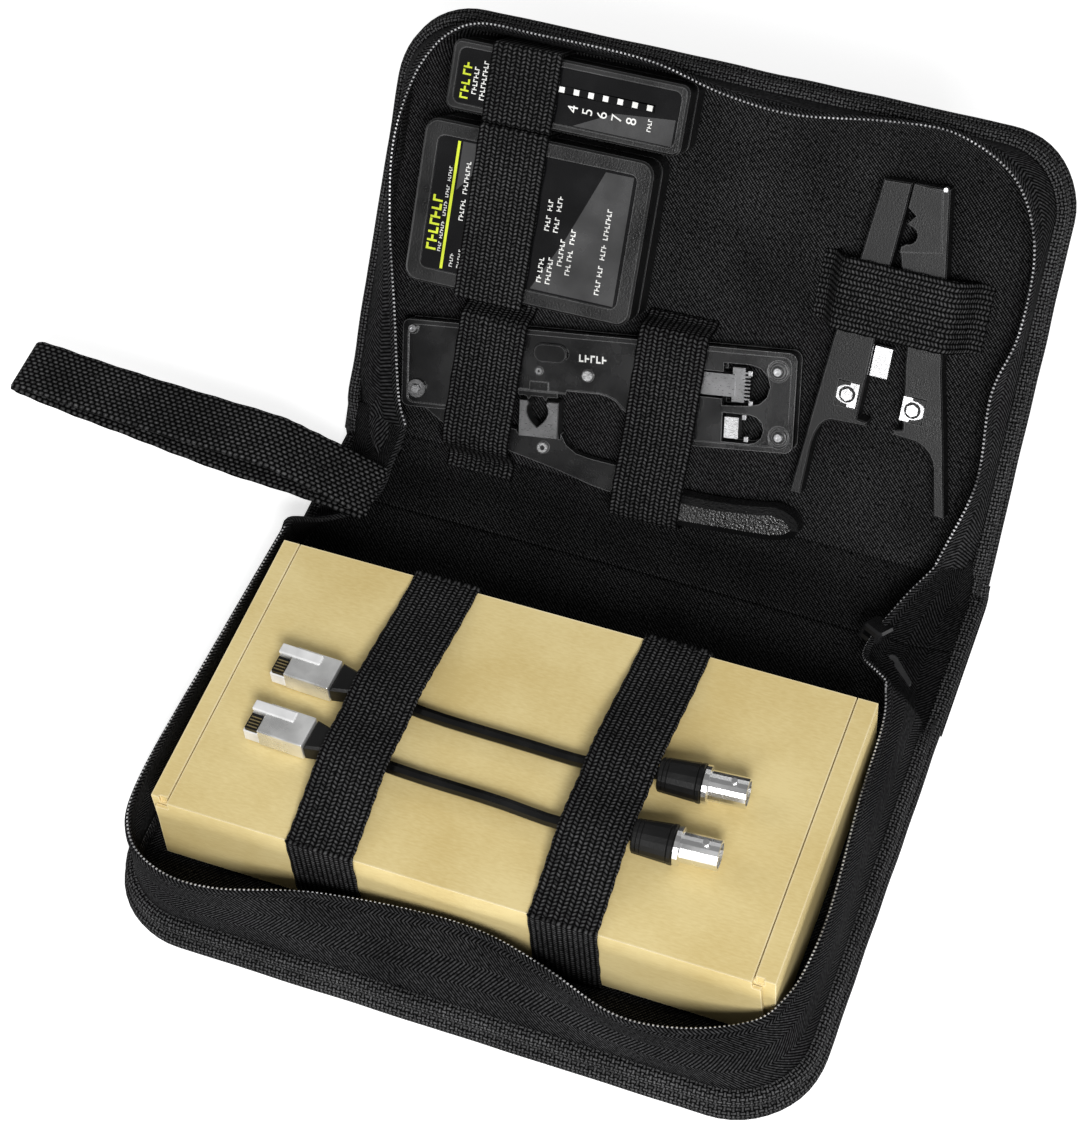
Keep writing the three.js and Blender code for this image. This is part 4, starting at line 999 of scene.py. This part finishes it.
def tape_tongue():
    """The rounded fold in which the lid's tape ends, over the root of the hand strap."""
    rows = []
    for j in range(13):
        lean = math.pi * j / 12
        row = []
        for i in range(33):
            turn = 2 * math.pi * i / 32
            x = math.cos(turn) * 7.2 * math.sin(lean)
            y = math.sin(turn) * 12.5 * math.sin(lean)
            rise = 1.7 * math.cos(lean) + 0.6 * math.sin(x * 1.3) * math.sin(lean)
            row.append(lid(-99.6 + x - 0.12 * y, 9 + y, 16.6 + rise + 0.12 * y))
        rows.append(row)
    dress(grid("lid_tape_tongue", rows, TAPE, from_above=True), "lid", "zip_tape")


# ---- hard parts: materials and soft edges on the CAD nodes ----
def finish_hard_parts():
    """Each hard CAD node's material, and a small bevel on the nodes whose edges catch the light."""
    groups = {
        KRAFT: "box_tray box_lid", SLIDER: "zip_slider zip_pull", GREEN: "tester_circuit_board",
        CASING: "tester_back_shell tester_front_shell tester_switch remote_back_shell remote_front_shell",
        GLOSS: "tester_label tester_jack remote_label", BATTERY: "tester_battery", LIGHT: "remote_lights",
        PAINT: "crimper_back_plate crimper_front_plate crimper_lever crimper_lock_button",
        GRIP: "crimper_grip", DARK_STEEL: "crimper_pivot_screw crimper_ram crimper_jaw",
        PLATED: "crimper_small_die stripper_cassette_left stripper_cassette_right stripper_stop",
        TOOL_PLASTIC: "stripper_arm_left stripper_arm_right", STEEL: "stripper_pin",
        SHIELD: "plug_back plug_front", CABLE: "cable_back cable_front",
        RUBBER: "plug_boot_back plug_boot_front bnc_boot_back bnc_boot_front",
        NICKEL: "bnc_jack_back bnc_jack_front",
    }
    looks = {name: material for material, names in groups.items() for name in names.split()}
    bevels = {
        0.6: "box_tray box_lid", 0.25: "crimper_front_plate crimper_back_plate", 0.15: "crimper_ram",
        0.3: "crimper_lever stripper_arm_left stripper_arm_right tester_switch",
        0.2: "zip_slider zip_pull crimper_lock_button crimper_jaw crimper_small_die",
    }
    soft_edges = {name: width for width, names in bevels.items() for name in names.split()}
    for name, node in frame["nodes"].items():
        if name not in looks:
            continue
        node.data.materials.clear()
        node.data.materials.append(looks[name])
        node.data.polygons.foreach_set("use_smooth", [True] * len(node.data.polygons))
        if name in soft_edges:
            bevel = node.modifiers.new("soft_edges", "BEVEL")
            bevel.width = soft_edges[name] / 1000
            bevel.segments = 2
            bevel.limit_method = "ANGLE"
            bevel.angle_limit = math.radians(35)
        split = node.modifiers.new("sharp_edges", "EDGE_SPLIT")
        split.split_angle = math.radians(35)


def block(place, x0, x1, y0, y1, z0, z1):
    """A box for boxes(), in a tool's own coordinates."""
    centre = place((x0 + x1) / 2, (y0 + y1) / 2, (z0 + z1) / 2)
    axes = tuple((place(*v) - place(0, 0, 0)).normalized() for v in ((1, 0, 0), (0, 1, 0), (0, 0, 1)))
    return centre, axes, (x1 - x0, y1 - y0, z1 - z0)


def hard_box(name, place, span, material, body, slot, bevel=0.0, cad=()):
    centre, axes, size = block(place, *span)
    obj = boxes(name, [(centre, axes)], size, material)
    if bevel:
        soft = obj.modifiers.new("soft_edges", "BEVEL")
        soft.width, soft.segments = bevel / 1000, 3
    return dress(obj, body, slot, *cad)


def plugs():
    """Shielded modular plugs: a metal sleeve, a pale nose with gilt contacts in a dark bed, and a latch."""
    for end in ("back", "front"):
        lo, hi = (corner * 1000 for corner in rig.box(f"plug_{end}"))
        middle = (lo.y + hi.y) / 2 + 0.45
        axis = lo.z + 4
        c, s = math.cos(-0.04), math.sin(-0.04)

        def put(x, y, z, lo=lo, middle=middle, axis=axis, c=c, s=s):
            return base(lo.x + x * c - y * s, middle + x * s + y * c, axis + z)

        def part(kind, span, material, bevel, cad=(), put=put, end=end):
            hard_box(f"plug_{kind}_{end}", put, span, material, "case_base", "plug_clear", bevel, cad)

        part("sleeve", (5.6, 21.8, -5.85, 5.85, -4, 4), SHIELD, 0.5, (f"plug_{end}",))
        part("nose", (0.2, 5.6, -5.5, 5.5, -3.9, 1.4), CLEAR, 0.4)
        part("contact_bed", (1.0, 5.6, -5.2, 0.8, 1.4, 3.2), GLOSS, 0.2)
        places = [block(put, 1.6, 5.2, y - 0.2, y + 0.2, 3.0, 3.6)[:2] for y in (-4.4, -3.2, -2.0, -0.8)]
        dress(boxes(f"plug_contacts_{end}", places, (3.6, 0.4, 0.6), GOLD), "case_base", "plug_clear")
        part("latch", (0.6, 15.5, 1.4, 5.2, 3.2, 4.6), CLEAR, 0.5)


def stud(name, place, x, y, z0, z1, radius, material, body="lid", slot="tool_steel", sides=24, hollow=0.0):
    """A low round stud in a tool's own coordinates, with a dimple when hollow is its radius."""
    ring = [(radius, z0), (radius, z1 - 0.15), (radius - 0.15, z1)]
    ring += [(hollow, z1), (hollow, z1 - 0.6), (0.01, z1 - 0.6)] if hollow else [(0.01, z1)]
    rows = [[place(x + r * math.cos(2 * math.pi * k / sides), y + r * math.sin(2 * math.pi * k / sides), z)
             for k in range(sides + 1)] for r, z in ring]
    obj = grid(name, rows, material)
    obj.modifiers.new("sharp_edges", "EDGE_SPLIT").split_angle = math.radians(40)
    return dress(obj, body, slot)


def crimper_studs():
    """Rivets and screws on the crimper's front plate, and the pins in its two windows."""
    top = CRIMPER_TOP
    stud("crimper_rivet", on_crimper, 68.6, -14.3, top, top + 0.25, 1.9, PLATED)
    stud("crimper_jaw_screw", on_crimper, 52.4, -41.9, 7.6, 8.0, 1.9, PLATED, "crimper_lever", hollow=0.9)
    stud("crimper_small_screw", on_crimper, 50.8, -14.2, top, top + 0.15, 1.2, STEEL, hollow=0.5)
    stud("crimper_pivot_cap", on_crimper, 5.6, -24.6, top + 1.2, top + 2.0, 1.7, STEEL, sides=6)
    for i, (x, y) in enumerate(((3.6, -3.2), (136.2, -6.4), (137.6, -29.2)), 1):
        stud(f"crimper_rivet_cap_{i}", on_crimper, x, y, top, top + 0.8, 1.5, STEEL, hollow=0.7)
    for i, (x, y) in enumerate(((125.6, -8.2), (126.2, -18.6), (124.2, -23.6), (125.2, -31.2)), 1):
        hard_box(f"crimper_window_pin_{i}", on_crimper, (x, x + 1.5, y - 0.9, y + 0.9, 6.4, 8.6), STEEL,
                 "lid", "tool_steel", 0.1)


def stripper_trim():
    """Dark moulding over the corners of the blade plates, rings round their screws, and a bright pin end."""
    top = STRIPPER_THICK + 0.46
    for side, (inner, outer) in (("left", (-4.9, -12.1)), ("right", (10.5, 18.1))):
        arm, middle, half = f"stripper_arm_{side}", (inner + outer) / 2, -72.5
        reach = (outer - middle) * 1.02
        for part, sign in (("upper", 1), ("lower", -1)):
            corner = [(middle + reach * a, half + sign * b) for a, b in
                      ((1, 4.25), (-0.15, 4.25), (-0.15, 3.3), (0.35, 3.1), (0.8, 2.3), (1, 1.6))]
            flat_mark(f"stripper_{side}_{part}_corner", corner, on_stripper, top, TOOL_PLASTIC, arm,
                      "tool_plastic")
        stud(f"stripper_{side}_screw_ring", on_stripper, middle, half, 9.8, top + 0.02, 2.9, RUBBER, arm,
             "tool_plastic")
    stud("stripper_pin_end", on_stripper, 9.4, 2.2, 7.5, 10.2, 0.9, PLATED, "stripper_arm_right", sides=16)


# ---- printed marks ----
def flat_mark(name, corners, place, height, material, body="lid", slot="label"):
    """One flat printed or moulded face with the given corners."""
    points = [place(x, y, height) for x, y in corners]
    obj = make(name, points, [tuple(range(len(points)))], [(0, 0)] * len(points), material, smooth=False)
    return dress(obj, body, slot)


def bar(x0, x1, y0, y1):
    return [(x0, y0), (x1, y0), (x1, y1), (x0, y1)]


def digit(name, text, place, x, y, height, size):
    """One printed digit, standing with its top towards the lid's left."""
    curve = bpy.data.curves.new(name, "FONT")
    curve.body = text
    curve.size = size / 1000
    curve.align_x = "CENTER"
    curve.resolution_u = 3
    source = place_in_scene(name + "_outline", curve)
    mesh = bpy.data.meshes.new_from_object(source)
    bpy.data.objects.remove(source)
    for vertex in mesh.vertices:
        a, b = vertex.co.x * 1000, vertex.co.y * 1000
        vertex.co = place(x - b, y + a, height)
    mesh.materials.clear()
    mesh.materials.append(INK)
    return dress(place_in_scene(name, mesh), "lid", "label")


def words(name, place, x, y0, lengths, height, width=1.7, material=INK, gap=1.3):
    """A printed line that stands for words: rows of plain strokes that spell nothing."""
    letter = width * 0.8
    y, quads, count = y0, [], 0
    for length in lengths:
        for k in range(max(1, round(length / letter))):
            near = y + k * letter
            stem, far = near + letter * 0.26, near + letter * 0.78
            quads.append((x - width / 2, x + width / 2, near, stem))
            low = x - width / 2 + (count % 3) * width * 0.38
            quads.append((low, low + width * 0.24, stem, far))
            count += 1
        y += length + gap
    points = [place(px, py, height) for a, b, c, d in quads for px, py in ((a, c), (b, c), (b, d), (a, d))]
    faces = [tuple(range(i, i + 4)) for i in range(0, len(points), 4)]
    mesh = make(name, points, faces, [(0, 0)] * len(points), material, smooth=False)
    return dress(mesh, "lid", "label")


def tester_marks():
    """Two paler facets of painted reflection, a line, and strokes in place of words on the tester's label."""
    face = TESTER_THICK - 0.1
    print_at = face + 0.08
    # The paler facets are painted reflection on the label.
    flat_mark("tester_reflection_facet_top", [(14.4, 50.9), (28, 50.9), (14.4, 34)], on_tester, face + 0.04, LABEL_REFLECTION)
    flat_mark("tester_reflection_facet_right", [(46, 6.2), (76, 6.2), (76, 50.8), (66, 50.8), (56, 26)], on_tester,
              face + 0.04, LABEL_REFLECTION)
    flat_mark("tester_line", bar(12.6, 13.6, 6.2, 50.8), on_tester, print_at, LIME)
    words("tester_mark_title", on_tester, 8.4, 12, (10.5, 8), print_at, 3.6, LIME, 0.6)
    for part, x, y0, lengths, width in (
            ("under", 11.4, 12, (3.2, 6.6, 5.2, 4.4, 5), 1.1), ("switch", 16.4, 7.5, (5,), 1.2),
            ("switch_2", 19.2, 7.5, (6.5,), 1.2), ("pins", 17.6, 24, (8, 11.6), 1.6),
            ("list_1", 48.6, 9, (2.2, 6), 1.7), ("list_2", 51.8, 9, (9.4,), 1.7),
            ("list_3", 55, 16, (9,), 1.7), ("list_4", 58.2, 13.4, (3.6, 4.6, 6), 1.7),
            ("list_5", 48.6, 27, (5.6, 4.4), 1.7), ("list_6", 51.8, 27, (6, 5.4), 1.7),
            ("warning", 69.6, 9, (5, 4.6, 5.6, 11.4), 1.7)):
        words(f"tester_mark_{part}", on_tester, x, y0, lengths, print_at, width)


def crimper_marks():
    """A short mark beside the lock button, which runs along the tool."""
    words("crimper_mark_lock", lambda x, y, z: on_crimper(y, x, z), -8.2, 65.4, (9.4,),
          CRIMPER_TOP + 0.05, 2.6, gap=1.0)


FIRST_LIGHT, LIGHT_PITCH = 29.9, 5.2


def light_row():
    """Nine small square lights in a dark strip."""
    axes = (Vector((1, 0, 0)), LID_UP, LID_OUT)
    places = [(on_remote(FIRST_LIGHT + LIGHT_PITCH * i, 14.2, 20.55), axes) for i in range(9)]
    row = boxes("remote_light_row", places, (1.9, 1.9, 0.5), LIGHT)
    dress(row, "lid", "lights", "remote_lights")
    ledge = boxes("remote_light_strip", [(on_remote(50.8, 14.2, 20.0), axes)], (44.4, 2.3, 1.0), GLOSS)
    dress(ledge, "lid", "label")


def remote_marks():
    """A paler facet of painted reflection, strokes in place of words, and the numbers of five lights on the remote
    unit.
    """
    face = REMOTE_THICK - 0.1
    print_at = face + 0.08
    # The paler facet is painted reflection on the label.
    flat_mark("remote_reflection_facet", [(46, 3), (81, 3), (81, 12), (60, 10)], on_remote, face + 0.04, LABEL_REFLECTION)
    words("remote_mark_title", on_remote, 6.2, 4.4, (7.4, 6), print_at, 3, LIME, 0.6)
    words("remote_mark_name", on_remote, 9.6, 6.5, (9.5,), print_at)
    words("remote_mark_name_2", on_remote, 12.6, 5, (13.5,), print_at)
    for i, text in enumerate("45678"):
        x = FIRST_LIGHT + LIGHT_PITCH * (i + 3)
        digit(f"remote_digit_{text}", text, on_remote, x + 1.4, 8.6, face + 0.1, 5.2)
    words("remote_mark_ground", on_remote, 72.4, 6.4, (4.8,), print_at, 1.4)


# ---- light, floor and camera ----
def lamp(name, place, size, power, target=(0, 0.06, 0.03)):
    light = bpy.data.lights.new(name, "AREA")
    light.shape = "RECTANGLE"
    light.size, light.size_y = size
    light.energy = power
    obj = place_in_scene(name, light)
    obj.location = place
    obj.rotation_euler = (Vector(target) - Vector(place)).to_track_quat("-Z", "Y").to_euler()


def stage():
    """A pale floor, a soft white surround and four area lamps."""
    n = Nodes("paper_floor", (0.93, 0.93, 0.93), 0.9, specular=0.2)
    n.ramp(n.noise(n.coordinates(uv=False), 6, 2), (0.92, 0.92, 0.92), (0.94, 0.94, 0.94),
           "Base Color", 0.3, 0.7)
    n.shader.inputs["Emission Color"].default_value = (1, 1, 1, 1)
    n.shader.inputs["Emission Strength"].default_value = 0.6
    size = 6.0
    corners = [Vector((x * size, y * size, -0.0003)) for x, y in ((-1, -1), (1, -1), (1, 1), (-1, 1))]
    floor = make("floor", corners, [(0, 1, 2, 3)], [(0, 0)] * 4, n.material, smooth=False)
    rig.stage(floor)
    world = bpy.data.worlds.new("studio")
    world.use_nodes = True
    world.node_tree.nodes["Background"].inputs["Color"].default_value = (1, 1, 1, 1)
    world.node_tree.nodes["Background"].inputs["Strength"].default_value = 0.22
    bpy.context.scene.world = world
    lamp("key", (0.5, -0.95, 1.0), (0.45, 0.35), 18.6)
    lamp("sheen", (0.1, -1.1, 0.75), (0.3, 0.2), 2.8)
    lamp("left", (-0.9, 0.0, 0.7), (0.3, 0.9), 1.5)
    lamp("back", (0.25, 1.0, 0.8), (1.2, 0.2), 1.5)
    bpy.context.scene.view_settings.view_transform = "Standard"


def camera():
    azimuth, elevation, roll = math.radians(25.27), math.radians(53.86), math.radians(-5.73)
    back = Vector((math.sin(azimuth) * math.cos(elevation), -math.cos(azimuth) * math.cos(elevation),
                   math.sin(elevation)))
    right = (-back).cross(Vector((0, 0, 1))).normalized()
    up = right.cross(-back)
    across = right * math.cos(roll) + up * math.sin(roll)
    upright = up * math.cos(roll) - right * math.sin(roll)
    data = bpy.data.cameras.new("camera")
    data.lens, data.sensor_width = 91.46, 36.0
    obj = place_in_scene("camera", data)
    obj.matrix_world = Matrix.Translation((0.2213, -0.4334, 0.8130)) @ Matrix(
        (across, upright, back)).transposed().to_4x4()
    bpy.context.scene.camera = obj


camera()
stage()
finish_hard_parts()
case_fabric()
box_straps()
lid_straps()
hand_strap()
plugs()
crimper_studs()
stripper_trim()
crimper_marks()
tester_marks()
light_row()
remote_marks()

end_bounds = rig.bounds()
with open("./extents.json", "w") as out:
    json.dump({"before": [list(p) for p in start_bounds], "after": [list(p) for p in end_bounds]}, out)
